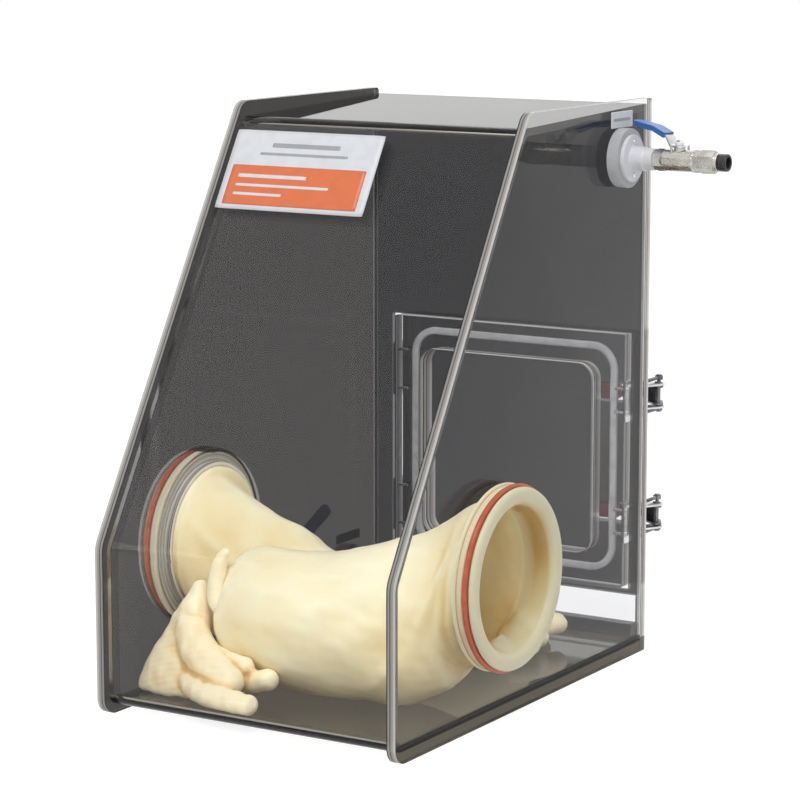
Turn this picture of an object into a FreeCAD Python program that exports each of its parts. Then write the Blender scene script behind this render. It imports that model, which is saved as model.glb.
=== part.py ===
import FreeCAD, Part
import math
import os

from FreeCAD import Vector

# Clear acrylic glove box, in millimetres. X points right, Y points back, Z points up.
# The front edge of the side panels is y = 0 while the pieces are made, and every
# piece is shifted at the end so that the origin is under the middle of the whole box.

# Enclosure
overall_width = 350.0
overall_height = 600.0
side_depth = 520.0
knee_height = 174.0
top_front_y = 254.0
side_thickness = 10.0
sheet_thickness = 8.0
back_thickness = 8.0
toe_radius = 18.0
knee_radius = 30.0
brow_radius = 18.0
top_back_radius = 4.0
front_inset = 7.0
floor_lift = 9.0
top_drop_front = 16.0
top_drop_back = 6.0
toe_bend_radius = 14.0
knee_bend_radius = 24.0
brow_bend_radius = 16.0
batten_size = 15.0

# Arm ports, in both side panels
port_y = 195.0
port_z = 146.0
port_bore_r = 75.0
port_ring_r = 90.0
port_ring_reach = 23.0
port_spigot_r = 80.0
port_lip_outer_r = 3.6
port_lip_inner_r = 7.5
glue_gap = 0.15
oring_wire_r = 2.8
oring_reach = 14.5
oring_groove_depth = 3.0
cuff_wall = 1.3
cuff_gap = 0.25
cuff_bead_r = 2.0
cuff_tail = 7.0

# Transfer door on the back
door_width = 284.0
door_height = 280.0
door_center_z = 205.0
layer_thickness = 20.0
layer_corner_r = 3.0
opening_width = 212.0
opening_height = 210.0
opening_corner_r = 18.0
seal_width = 7.6
seal_margin = 21.0
seal_outer_width = opening_width + 2 * seal_margin
seal_corner_r = 30.0
seal_groove_depth = 4.0
seal_proud = 0.6
seal_gap = 0.2
running_gap = 0.3

# Hinges on the left side of the door
hinge_spacing = 156.0
hinge_height = 60.0
hinge_leaf_thickness = 3.5
hinge_leaf_width = 17.0
knuckle_r = 3.8
knuckle_length = 20.0
hinge_pin_r = 1.6
pin_clearance = 0.05
hinge_screw_spacing = 44.0
hinge_screw_r = 1.6
hinge_screw_depth = 11.0
hinge_screw_head_r = 3.0
screw_clearance = 0.05

# Draw latches on the right side of the door
latch_spacing = 134.0
latch_center_z = 204.5
keeper_height = 46.0
keeper_width = 17.0
latch_plate_thickness = 1.6
keeper_lip_reach = 7.0
keeper_lip_height = 28.0
keeper_screw_spacing = 26.0
latch_base_height = 38.0
latch_base_width = 18.0
latch_base_thickness = 2.0
latch_slot_length = 7.0
latch_screw_spacing = 12.0
latch_screw_r = 1.7
latch_screw_head_r = 3.2
latch_screw_head_height = 1.8
latch_screw_depth = 12.0
pivot_out = 15.0
pivot_back = 39.5
link_arm = 13.0
link_over_centre_deg = 22.5
cheek_offset = 11.5
cheek_thickness = 2.0
cheek_end_r = 9.0
lever_arm_offset = 8.5
lever_arm_thickness = 2.0
lever_hub_r = 6.0
lever_eye_r = 4.6
pivot_rivet_r = 2.4
pivot_rivet_head_r = 3.8
link_pin_r = 2.0
loop_wire_r = 2.0
loop_offset = 17.2
loop_clear_of_lip = 0.4
loop_hook_y = 15.5
loop_bend_r = 4.0
lever_tongue_thickness = 2.6
lever_tongue_width = 12.0
lever_reach = 66.0
grip_length = 40.0
grip_width = 20.0
grip_thickness = 9.0

# Valves: one high on the right panel, one low on the left panel
right_valve_y = 447.0
right_valve_z = 542.0
left_valve_y = 470.0
left_valve_z = 55.0
left_stem_tilt_deg = 45.0
right_lever_turn_deg = 20.0
left_lever_turn_deg = 64.0
clear_flange_r = 31.0
clear_flange_thickness = 12.5
adaptor_flange_r = 24.5
adaptor_flange_thickness = 4.0
adaptor_tube_r = 12.6
adaptor_tube_end_r = 11.4
adaptor_length = 24.5
adaptor_spigot_r = 11.0
flow_bore_r = 4.0
flange_screw_spacing = 35.0
flange_screw_r = 1.5
flange_screw_head_r = 2.6
flange_screw_head_height = 1.6
nipple_hex = 19.0
nipple_length = 8.5
valve_body_r = 11.2
valve_body_length = 49.0
valve_collar_length = 10.0
valve_collar_hex = 20.0
valve_ball_r = 8.0
valve_ball_gap = 0.2
stem_boss_r = 6.0
stem_boss_height = 13.2
stem_r = 3.0
stem_gap = 0.08
stem_height = 21.0
stem_tongue = 3.0
stem_tongue_gap = 0.2
stop_pin_r = 1.3
stop_pin_circle_r = 9.5
stop_pin_height = 15.4
stop_pin_play_deg = 1.5
lever_plate_thickness = 2.0
lever_plate_width = 12.0
lever_plate_lift = 14.6
lever_length = 64.0
lever_tail = 7.0
sleeve_width = 13.0
sleeve_wall = 1.8
lever_nut_hex = 9.0
lever_nut_height = 3.6
fitting_hex = 21.0
fitting_hex_length = 17.0
fitting_shoulder_r = 9.6
fitting_shoulder_length = 3.5
collar_r = 9.0
collar_reach = 10.5
collar_neck_r = 7.4
collar_neck_length = 5.0
collar_travel = 1.5
tube_r = 6.0
tube_gap = 0.05
tube_depth = 13.0

# Gloves: wall of the hollow mouth, and how far above the floor a glove lies
glove_wall = 1.5
glove_floor_gap = 0.5
finger_r = 12.5

# Planes that several pieces share
side_outer = overall_width / 2
side_inner = side_outer - side_thickness
floor_top = floor_lift + sheet_thickness
back_inner = side_depth - back_thickness
frame_back = side_depth + layer_thickness
door_front = frame_back + seal_proud + running_gap
door_back = door_front + layer_thickness
door_edge = door_width / 2
hinge_axis_x = -(door_edge + knuckle_r + running_gap)
hinge_axis_y = (frame_back + door_front) / 2
pivot_x = door_edge + pivot_out
pivot_y = door_front + pivot_back
link_angle = math.radians(90 + link_over_centre_deg)
link_x = pivot_x + link_arm * math.cos(link_angle)
link_y = pivot_y + link_arm * math.sin(link_angle)
rear_y = link_y + lever_eye_r
origin_shift = Vector(0, -rear_y / 2, 0)
mirror_x = (Vector(0, 0, 0), Vector(1, 0, 0))


def on_x(x):
    """Places a point (a, b) at y = a, z = b in the plane of x."""
    return lambda a, b: Vector(x, a, b)


def on_y(y):
    """Places a point (a, b) at x = a, z = b in the plane of y."""
    return lambda a, b: Vector(a, y, b)


def on_z(z):
    """Places a point (a, b) at x = a, y = b in the plane of z."""
    return lambda a, b: Vector(a, b, z)


def rounded_wire(corners, place):
    """Closed outline through corners (a, b, radius), each turned by an arc of its radius."""
    runs = []
    for i, (a, b, radius) in enumerate(corners):
        corner = Vector(a, b, 0)
        before = Vector(corners[i - 1][0], corners[i - 1][1], 0) - corner
        following = corners[(i + 1) % len(corners)]
        after = Vector(following[0], following[1], 0) - corner
        before.normalize()
        after.normalize()
        if radius <= 0:
            runs.append((corner, None, corner))
            continue
        half = before.getAngle(after) / 2
        inward = before + after
        inward.normalize()
        reach = radius / math.tan(half)
        middle = corner + inward * (radius / math.sin(half) - radius)
        runs.append((corner + before * reach, middle, corner + after * reach))
    edges = []
    for i, (start, middle, end) in enumerate(runs):
        if middle is not None:
            arc = [place(point.x, point.y) for point in (start, middle, end)]
            edges.append(Part.Arc(*arc).toShape())
        onward = runs[(i + 1) % len(runs)][0]
        if end.distanceToPoint(onward) > 1e-6:
            line = [place(point.x, point.y) for point in (end, onward)]
            edges.append(Part.LineSegment(*line).toShape())
    return Part.Wire(edges)


def rounded_plate(corners, place, push):
    """Plate made by pushing a rounded outline along the vector push."""
    return Part.Face(rounded_wire(corners, place)).extrude(push)


def rectangle(width, height, radius, center_a=0.0, center_b=0.0):
    """Corners of a rounded rectangle, going round once."""
    a, b = width / 2, height / 2
    return [(center_a - a, center_b - b, radius), (center_a + a, center_b - b, radius),
            (center_a + a, center_b + b, radius), (center_a - a, center_b + b, radius)]


def hexagon(across_flats, turn_deg=30.0):
    """Corners of a hexagon of the given width across its flats."""
    r = across_flats / math.sqrt(3)
    angles = [math.radians(turn_deg + 60 * i) for i in range(6)]
    return [(r * math.cos(angle), r * math.sin(angle), 0) for angle in angles]


def rod(start, end, radius):
    """Round rod from one point to another."""
    return Part.makeCylinder(radius, (end - start).Length, start, end - start)


def capsule(start, end, radius):
    """Rod with a ball on each end."""
    return rod(start, end, radius).fuse([Part.makeSphere(radius, start), Part.makeSphere(radius, end)])


def turned(profile, center_y, center_z):
    """Solid turned about a line along X, from a profile of (x, radius, corner radius)."""
    wire = rounded_wire(profile, lambda x, r: Vector(x, center_y, center_z + r))
    return Part.Face(wire).revolve(Vector(0, center_y, center_z), Vector(1, 0, 0), 360)


def meet(p, u, q, v):
    """Point where the line through p along u meets the line through q along v."""
    across = u[0] * v[1] - u[1] * v[0]
    t = ((q[0] - p[0]) * v[1] - (q[1] - p[1]) * v[0]) / across
    return (p[0] + u[0] * t, p[1] + u[1] * t)


# Outline of the box from the side

def slope_line(inset):
    """A point on the front slope and its direction, moved inward by inset."""
    rise = overall_height - knee_height
    length = math.hypot(top_front_y, rise)
    along = (top_front_y / length, rise / length)
    return (along[1] * inset, knee_height - along[0] * inset), along


def top_line(drop):
    """A point on the top run of the sheet and its direction, moved down by drop."""
    start = (top_front_y, overall_height - top_drop_front)
    end = (side_depth, overall_height - top_drop_back)
    length = math.hypot(end[0] - start[0], end[1] - start[1])
    along = ((end[0] - start[0]) / length, (end[1] - start[1]) / length)
    return (start[0] + along[1] * drop, start[1] - along[0] * drop), along


def sheet_corners(inset):
    """Corners of one face of the bent sheet, from the back of the floor to the back of the top."""
    slope, along_slope = slope_line(front_inset + inset)
    top, along_top = top_line(inset)
    front = (front_inset + inset, 0.0)
    floor = floor_lift + inset
    knee = meet(front, (0, 1), slope, along_slope)
    brow = meet(slope, along_slope, top, along_top)
    end = meet(top, along_top, (back_inner, 0), (0, 1))
    return [(back_inner, floor, 0), (front[0], floor, toe_bend_radius - inset),
            (knee[0], knee[1], knee_bend_radius - inset),
            (brow[0], brow[1], brow_bend_radius - inset), (end[0], end[1], 0)]


def side_panel(valve_y, valve_z):
    """Right-hand side panel with its arm hole and a hole for the valve's spigot."""
    outline = [(0, 0, toe_radius), (side_depth, 0, 0),
               (side_depth, overall_height, top_back_radius),
               (top_front_y, overall_height, brow_radius), (0, knee_height, knee_radius)]
    panel = rounded_plate(outline, on_x(side_inner), Vector(side_thickness, 0, 0))
    reach = Vector(side_thickness, 0, 0)
    arm_hole = rod(Vector(side_inner, port_y, port_z),
                   Vector(side_inner, port_y, port_z) + reach, port_spigot_r + glue_gap)
    valve_hole = rod(Vector(side_inner, valve_y, valve_z),
                     Vector(side_inner, valve_y, valve_z) + reach, adaptor_spigot_r + glue_gap)
    return panel.cut([arm_hole, valve_hole])


def wrap_sheet():
    """One sheet bent into the floor, the front, the slope and the top."""
    outline = sheet_corners(0) + list(reversed(sheet_corners(sheet_thickness)))
    return rounded_plate(outline, on_x(-side_inner), Vector(2 * side_inner, 0, 0))


def door_opening(y, depth):
    """The block that the transfer opening leaves free."""
    corners = rectangle(opening_width, opening_height, opening_corner_r, 0, door_center_z)
    return rounded_plate(corners, on_y(y), Vector(0, depth, 0))


def back_panel():
    """Back panel between the side panels, with the transfer opening."""
    bottom = floor_lift
    top = sheet_corners(0)[-1][1]
    corners = rectangle(2 * side_inner, top - bottom, 0, 0, (top + bottom) / 2)
    plate = rounded_plate(corners, on_y(back_inner), Vector(0, back_thickness, 0))
    return plate.cut(door_opening(back_inner, back_thickness))


def top_batten():
    """Square batten in the corner of the top and the back, planed to the slope of the top."""
    top, along = top_line(sheet_thickness)
    front = back_inner - batten_size
    high_front = meet(top, along, (front, 0), (0, 1))[1]
    high_back = meet(top, along, (back_inner, 0), (0, 1))[1]
    corners = [(front, high_front - batten_size, 0), (back_inner, high_front - batten_size, 0),
               (back_inner, high_back, 0), (front, high_front, 0)]
    return rounded_plate(corners, on_x(-side_inner), Vector(2 * side_inner, 0, 0))


def bottom_batten():
    """Square batten in the corner of the floor and the back."""
    front = back_inner - batten_size
    corners = [(front, floor_top, 0), (back_inner, floor_top, 0),
               (back_inner, floor_top + batten_size, 0), (front, floor_top + batten_size, 0)]
    return rounded_plate(corners, on_x(-side_inner), Vector(2 * side_inner, 0, 0))


# Arm ports and gloves

def port_outline(offset):
    """Profile (x, radius, corner radius) of the port ring's outside, from the panel out over the
    rounded lip and back along the bore, moved away from the ring by offset."""
    groove_x = side_outer + oring_reach
    half = oring_wire_r + 0.4
    outer = port_ring_r + offset
    floor_r = outer - oring_groove_depth
    shoulder = half - offset * 0.4
    end = side_outer + port_ring_reach + offset
    return [(groove_x - shoulder - 1.5, outer, 0), (groove_x - shoulder, floor_r, 1.2),
            (groove_x + shoulder, floor_r, 1.2), (groove_x + shoulder + 1.5, outer, 0),
            (end, outer, port_lip_outer_r + offset),
            (end, port_bore_r - offset, port_lip_inner_r + offset)]


def port_ring():
    """Turned acrylic ring with a spigot in the panel, a groove and a rounded lip."""
    profile = [(side_inner, port_bore_r, 0), (side_inner, port_spigot_r, 0),
               (side_outer, port_spigot_r, 0), (side_outer, port_ring_r, 0)]
    return turned(profile + port_outline(0), port_y, port_z)


def cuff_oring():
    """O-ring that holds the cuff down in the groove of the port ring."""
    seat = port_ring_r - oring_groove_depth + cuff_gap + cuff_wall
    ring_r = seat + oring_wire_r + cuff_gap
    center = Vector(side_outer + oring_reach, port_y, port_z)
    return Part.makeTorus(ring_r, oring_wire_r, center, Vector(1, 0, 0))


def cuff():
    """Mouth of the glove: stretched over the ring, round its lip and back through its bore."""
    bead_x = side_outer + cuff_gap + cuff_bead_r
    inner = port_outline(cuff_gap)
    outer = port_outline(cuff_gap + cuff_wall)
    tail_x = side_inner - cuff_tail
    profile = [(bead_x, port_ring_r + cuff_gap, 0)] + inner
    profile += [(tail_x, port_bore_r - cuff_gap, 0), (tail_x, port_bore_r - cuff_gap - cuff_wall, 0)]
    profile += list(reversed(outer)) + [(bead_x, port_ring_r + cuff_gap + cuff_wall, 0)]
    shell = turned(profile, port_y, port_z)
    bead_ring_r = port_ring_r + cuff_gap + cuff_bead_r + 0.2
    bead = Part.makeTorus(bead_ring_r, cuff_bead_r, Vector(bead_x, port_y, port_z), Vector(1, 0, 0))
    return shell.fuse(bead)


def oval(middle, half_a, half_b, place, lean=0.0):
    """Smooth oval wire about middle (a, b), placed by place; lean shifts its top along a."""
    angles = [math.tau * i / 12 for i in range(12)]
    points = []
    for angle in angles:
        rise = half_b * math.cos(angle)
        points.append(place(middle[0] + half_a * math.sin(angle) + lean * rise, middle[1] + rise))
    curve = Part.BSplineCurve()
    curve.interpolate(Points=points, PeriodicFlag=True)
    return Part.Wire(curve.toShape())


def mouth(x, radius):
    """Circle where a sleeve meets the tail of its cuff, begun at its top like the ovals."""
    circle = Part.Circle()
    circle.Center = Vector(x, port_y, port_z)
    circle.Axis = Vector(-1, 0, 0)
    circle.XAxis = Vector(0, 0, 1)
    circle.Radius = radius
    return Part.Wire(circle.toShape())


def skin(sections, plane, start, end):
    """Outer and inner loft of a part of the glove, through ovals given as (place along, middle a,
    middle b, half a, half b, lean). The inner loft leaves the glove's wall. start is the place of
    the cuff's tail, or how far the inner loft begins from the outer one where there is no cuff."""
    def loft(rows, shrink, begin):
        wires = [oval((a, b), half_a - shrink, half_b - shrink, plane(along), lean)
                 for along, a, b, half_a, half_b, lean in rows]
        return Part.makeLoft(begin + wires, True)
    inner = [sections[0]] + sections[1:-1] + [(sections[-1][0] + end,) + sections[-1][1:]]
    if abs(start) > cuff_tail:
        radius = port_bore_r - cuff_gap
        return (loft(sections, 0.0, [mouth(start, radius)]),
                loft(inner, glove_wall, [mouth(start, radius - cuff_wall)]))
    inner[0] = (sections[0][0] + start,) + sections[0][1:]
    return loft(sections, 0.0, []), loft(inner, glove_wall, [])


def lying_on_floor(shape):
    """The glove without what would sink into the floor."""
    low = floor_top + glove_floor_gap
    return shape.cut(Part.makeBox(2 * side_inner, side_depth, side_depth,
                                  Vector(-side_inner, 0, low - side_depth)))


def on_floor(half):
    """Height of the middle of an oval of half height half that lies on the floor."""
    return floor_top + glove_floor_gap + half + 1.0


def station(across, back, high, half_y, half_z, lean):
    """Section of a sleeve. Its place is a share of the chamber's half width and of the depth, its
    half sizes are multiples of the port's bore radius, and so is its height over the port's
    middle, or None where it lies on the floor."""
    half = half_z * port_bore_r
    middle = on_floor(half) if high is None else port_z + high * port_bore_r
    return across * side_inner, back * side_depth, middle, half_y * port_bore_r, half, lean


def hand_slice(high, across, back, half_x, half_y):
    """Level section of a hand, its height over the floor and half sizes in bore radii."""
    return (floor_top + high * port_bore_r, across * side_inner, back * side_depth,
            half_x * port_bore_r, half_y * port_bore_r, 0)


def fingers(joints):
    """Fingers of a hand, each from its root to its tip, both as (across, back, high over the
    floor), and its radius. The units are those of the sections."""
    def spot(across, back, high):
        return Vector(across * side_inner, back * side_depth, floor_top + high * port_bore_r)
    return [capsule(spot(*root), spot(*tip), radius * port_bore_r) for root, tip, radius in joints]


def joined(cuff_shape, arm, arm_hollow, hand, hand_hollow):
    """Glove from its cuff, sleeve and hand: the hand opens into the sleeve, and both are hollow."""
    sleeve = arm.cut([arm_hollow] + hand_hollow)
    hand = hand[0].fuse(hand[1:]).cut([arm_hollow] + hand_hollow)
    return lying_on_floor(sleeve.fuse(hand)).fuse(cuff_shape)


def right_glove():
    """Right glove: its sleeve lies across the floor, and its hand hangs at the left front."""
    arm, arm_hollow = skin(
        [station(0.90, 0.367, -0.127, 0.893, 1.087, 0.12),
         station(0.79, 0.356, -0.34, 0.83, 1.17, 0.22), station(0.606, 0.331, None, 0.81, 1.12, 0.3),
         station(0.364, 0.302, None, 0.89, 1.02, 0.2), station(0.061, 0.275, None, 0.93, 0.933, 0.1),
         station(-0.273, 0.260, None, 0.89, 0.927, 0), station(-0.515, 0.250, None, 0.80, 0.92, 0),
         station(-0.606, 0.248, None, 0.60, 0.867, 0), station(-0.655, 0.246, None, 0.37, 0.787, 0)],
        on_x, side_inner - cuff_tail, 3.0)
    palm, palm_hollow = skin(
        [hand_slice(1.43, -0.691, 0.185, 0.09, 0.13), hand_slice(1.16, -0.691, 0.169, 0.21, 0.24),
         hand_slice(0.79, -0.703, 0.146, 0.35, 0.27), hand_slice(0.39, -0.733, 0.119, 0.48, 0.24),
         hand_slice(0.03, -0.745, 0.100, 0.52, 0.17)], on_z, -3.0, 4.0)
    digits = fingers([((-0.64, 0.154, 1.05), (-0.28, 0.081, 0.49), 0.227),
                      ((-0.56, 0.104, 0.36), (-0.10, 0.058, 0.21), 0.193),
                      ((-0.48, 0.150, 0.23), (-0.17, 0.158, 0.21), 0.173),
                      ((-0.51, 0.127, 0.57), (-0.33, 0.131, 0.47), 0.173)])
    return joined(cuff(), arm, arm_hollow, [palm] + digits, [palm_hollow])


def left_glove():
    """Left glove: its sleeve sinks behind the right one, and its hand lies at the right back."""
    arm, arm_hollow = skin(
        [station(-0.85, 0.365, -0.46, 0.75, 0.88, 0.08),
         station(-0.68, 0.412, None, 0.62, 0.88, 0.1), station(-0.50, 0.466, None, 0.60, 0.80, 0.05),
         station(-0.30, 0.500, None, 0.65, 0.72, 0), station(-0.05, 0.552, None, 0.67, 0.63, 0),
         station(0.20, 0.612, None, 0.65, 0.545, 0), station(0.38, 0.660, None, 0.60, 0.475, 0),
         station(0.558, 0.719, None, 0.45, 0.347, 0)], on_x, cuff_tail - side_inner, -3.0)
    digits = fingers([((0.52, 0.735, 0.24), (0.82, 0.827, 0.19), 0.173),
                      ((0.47, 0.730, 0.32), (0.68, 0.865, 0.29), 0.173),
                      ((0.45, 0.750, 0.24), (0.50, 0.877, 0.19), 0.173),
                      ((0.52, 0.700, 0.24), (0.85, 0.746, 0.19), 0.173)])
    return joined(cuff().mirror(*mirror_x), arm, arm_hollow, digits, [])


# Transfer door

def seal_ring(width, depth, y, widen):
    """Rounded rectangular ring of the seal's course, wider by widen on each side."""
    middle = seal_outer_width - width
    outer = rectangle(middle + width + 2 * widen, middle + width + 2 * widen,
                      seal_corner_r + widen, 0, door_center_z)
    inner = rectangle(middle - width - 2 * widen, middle - width - 2 * widen,
                      seal_corner_r - width - widen, 0, door_center_z)
    push = Vector(0, depth, 0)
    return rounded_plate(outer, on_y(y), push).cut(rounded_plate(inner, on_y(y), push))


def layer(y):
    """One clear layer of the door, without holes."""
    corners = rectangle(door_width, door_height, layer_corner_r, 0, door_center_z)
    return rounded_plate(corners, on_y(y), Vector(0, layer_thickness, 0))


def hinge_centers():
    """Heights of the two hinges, lower one first."""
    return [door_center_z - hinge_spacing / 2, door_center_z + hinge_spacing / 2]


def latch_centers():
    """Heights of the two latches, lower one first."""
    return [latch_center_z - latch_spacing / 2, latch_center_z + latch_spacing / 2]


def hinge_screw_starts(y):
    """Points on the left side face of the door where the hinge screws enter."""
    return [Vector(-door_edge, y, center + side * hinge_screw_spacing / 2)
            for center in hinge_centers() for side in (-1, 1)]


def keeper_screw_starts():
    """Points on the right side face of the frame where the keeper screws enter."""
    y = side_depth + layer_thickness / 2 - 3.0
    return [Vector(door_edge, y, center + side * keeper_screw_spacing / 2)
            for center in latch_centers() for side in (-1, 1)]


def latch_screw_starts():
    """Points on the right side face of the door where the latch base screws enter."""
    y = door_front + latch_base_width / 2
    return [Vector(door_edge, y, center + side * latch_screw_spacing / 2)
            for center in latch_centers() for side in (-1, 1)]


def screw_holes(starts, inward, depth, radius):
    """Holes for screws that enter at starts and run inward."""
    return [rod(start, start + inward * (depth + 1.0), radius + screw_clearance) for start in starts]


frame_screw_y = side_depth + layer_thickness / 2
door_screw_y = door_front + layer_thickness / 2


def door_frame():
    """Fixed layer of the door, glued to the back panel, with the seal's groove."""
    frame = layer(side_depth).cut(door_opening(side_depth, layer_thickness))
    groove = seal_ring(seal_width, seal_groove_depth, frame_back - seal_groove_depth, seal_gap)
    holes = screw_holes(hinge_screw_starts(frame_screw_y), Vector(1, 0, 0),
                        hinge_screw_depth, hinge_screw_r)
    holes += screw_holes(keeper_screw_starts(), Vector(-1, 0, 0), latch_screw_depth, latch_screw_r)
    return frame.cut([groove] + holes)


def door_seal():
    """White cord seal that stands a little out of its groove."""
    depth = seal_groove_depth - seal_gap + seal_proud
    return seal_ring(seal_width, depth, frame_back - seal_groove_depth + seal_gap, 0.0)


def door_panel():
    """Swinging layer of the door."""
    holes = screw_holes(hinge_screw_starts(door_screw_y), Vector(1, 0, 0),
                        hinge_screw_depth, hinge_screw_r)
    holes += screw_holes(latch_screw_starts(), Vector(-1, 0, 0), latch_screw_depth, latch_screw_r)
    return layer(door_front).cut(holes)


def hinge_leaf(center, side):
    """Leaf of a clear butt hinge: side is -1 for the frame's leaf and 1 for the door's leaf.
    The frame's leaf carries the two end knuckles and the door's leaf the middle one."""
    outer = -(door_edge + hinge_leaf_thickness)
    screw_y = frame_screw_y if side < 0 else door_screw_y
    near = hinge_axis_y + side * (knuckle_r + running_gap)
    far = hinge_axis_y + side * (knuckle_r + running_gap + hinge_leaf_width - 2.5)
    corners = rectangle(abs(far - near), hinge_height, 2.5, (near + far) / 2, center)
    leaf = rounded_plate(corners, on_x(outer), Vector(hinge_leaf_thickness, 0, 0))
    half = knuckle_length / 2
    if side < 0:
        spans = [(-hinge_height / 2, -half - running_gap / 2), (half + running_gap / 2, hinge_height / 2)]
    else:
        spans = [(-half + running_gap / 2, half - running_gap / 2)]
    for low, high in spans:
        foot = Vector(hinge_axis_x, hinge_axis_y, center + low)
        knuckle = Part.makeCylinder(knuckle_r, high - low, foot)
        web = rounded_plate([(outer, near, 0), (-door_edge, near, 0),
                             (-door_edge - running_gap, hinge_axis_y, 0), (outer, hinge_axis_y, 0)],
                            on_z(center + low), Vector(0, 0, high - low))
        leaf = leaf.fuse([knuckle, web])
    bore = rod(Vector(hinge_axis_x, hinge_axis_y, center - hinge_height / 2),
               Vector(hinge_axis_x, hinge_axis_y, center + hinge_height / 2),
               hinge_pin_r + pin_clearance)
    holes = [bore]
    for start in hinge_screw_starts(screw_y):
        if abs(start.z - center) < hinge_height / 2:
            face = start - Vector(hinge_leaf_thickness, 0, 0)
            holes.append(rod(face, start, hinge_screw_r + screw_clearance))
            sink = hinge_screw_head_r - hinge_screw_r
            holes.append(Part.makeCone(hinge_screw_head_r + screw_clearance,
                                       hinge_screw_r + screw_clearance, sink, face, Vector(1, 0, 0)))
    return leaf.cut(holes)


def countersunk_screw(start):
    """Countersunk screw through a hinge leaf into the side face at start."""
    face = start - Vector(hinge_leaf_thickness, 0, 0)
    sink = hinge_screw_head_r - hinge_screw_r
    head = Part.makeCone(hinge_screw_head_r, hinge_screw_r, sink, face, Vector(1, 0, 0))
    shank = rod(face, start + Vector(hinge_screw_depth, 0, 0), hinge_screw_r)
    slot = Part.makeBox(0.8, 0.9, 2 * hinge_screw_head_r,
                        face - Vector(0.2, 0.45, hinge_screw_head_r))
    return head.fuse(shank).cut(slot)


def pan_screw(start, plate, inward, shank_r, head_r, head_height, depth):
    """Pan-head screw through a plate into the face at start; inward is 1 or -1 along X."""
    under = start.x - inward * plate
    top = under - inward * head_height
    tip = start.x + inward * depth
    screw = turned([(top, 0, 0), (top, head_r, head_height * 0.7), (under, head_r, 0),
                    (under, shank_r, 0), (tip, shank_r, 0.6), (tip, 0, 0)], start.y, start.z)
    reach = head_r * 0.6
    across = Part.makeBox(1.2, 2 * reach, 0.8, Vector(top - 0.6, start.y - reach, start.z - 0.4))
    upright = Part.makeBox(1.2, 0.8, 2 * reach, Vector(top - 0.6, start.y - 0.4, start.z - reach))
    return screw.cut([across, upright])


def group(solids):
    """Several like pieces kept as separate solids."""
    return Part.makeCompound(solids)


# Draw latches

def keeper(center):
    """Keeper plate on the frame's side, with an upturned lip."""
    corners = rectangle(keeper_width, keeper_height, 2.0,
                        frame_back - running_gap - keeper_width / 2, center)
    plate = rounded_plate(corners, on_x(door_edge), Vector(latch_plate_thickness, 0, 0))
    back = frame_back - running_gap
    lip = rounded_plate([(door_edge, back - latch_plate_thickness, 0), (door_edge, back, 0),
                         (door_edge + keeper_lip_reach, back, 0.7),
                         (door_edge + keeper_lip_reach, back - latch_plate_thickness, 0.7)],
                        on_z(center - keeper_lip_height / 2), Vector(0, 0, keeper_lip_height))
    holes = [rod(start, start + Vector(latch_plate_thickness, 0, 0), latch_screw_r + screw_clearance)
             for start in keeper_screw_starts() if abs(start.z - center) < keeper_height / 2]
    return plate.fuse(lip).cut(holes).removeSplitter()


def latch_base(center):
    """Latch base on the door's side: a slotted plate with two cheeks that reach behind the door."""
    corners = rectangle(latch_base_width, latch_base_height, 3.0,
                        door_front + running_gap + latch_base_width / 2, center)
    base = rounded_plate(corners, on_x(door_edge), Vector(latch_base_thickness, 0, 0))
    near = door_front + 4.0
    for side in (-1, 1):
        low = center + side * (cheek_offset + cheek_thickness / 2) - cheek_thickness / 2
        foot = door_edge + latch_base_thickness / 2
        neck = rounded_plate([(foot, near, 0), (foot, door_back, 0),
                              (pivot_x - cheek_end_r, pivot_y, 0), (pivot_x, pivot_y + cheek_end_r, cheek_end_r / 2),
                              (pivot_x + cheek_end_r, pivot_y, cheek_end_r / 2),
                              (pivot_x + cheek_end_r * 0.7, pivot_y - cheek_end_r, 6.0),
                              (foot + 4.0, near, 2.0)],
                             on_z(low), Vector(0, 0, cheek_thickness))
        base = base.fuse(neck)
    cuts = [rod(Vector(pivot_x, pivot_y, center - latch_base_height / 2),
                Vector(pivot_x, pivot_y, center + latch_base_height / 2),
                pivot_rivet_r + pin_clearance)]
    for start in latch_screw_starts():
        if abs(start.z - center) < latch_base_height / 2:
            corners = rectangle(latch_slot_length, 2 * latch_screw_r + 0.3,
                                latch_screw_r + 0.1, start.y, start.z)
            cuts.append(rounded_plate(corners, on_x(door_edge), Vector(latch_base_thickness, 0, 0)))
    return base.cut(cuts)


def pivot_rivet(center):
    """Rivet across the cheeks that the lever turns on."""
    half = cheek_offset + cheek_thickness
    low = Vector(pivot_x, pivot_y, center - half)
    high = Vector(pivot_x, pivot_y, center + half)
    head = Vector(0, 0, 1.0)
    return rod(low, high, pivot_rivet_r).fuse([rod(low - head, low, pivot_rivet_head_r),
                                               rod(high, high + head, pivot_rivet_head_r)])


def lever_web_y():
    """Middle of the lever's tongue, level with the link pin's near side."""
    return link_y - lever_eye_r + lever_tongue_thickness / 2 + 1.0


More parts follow.
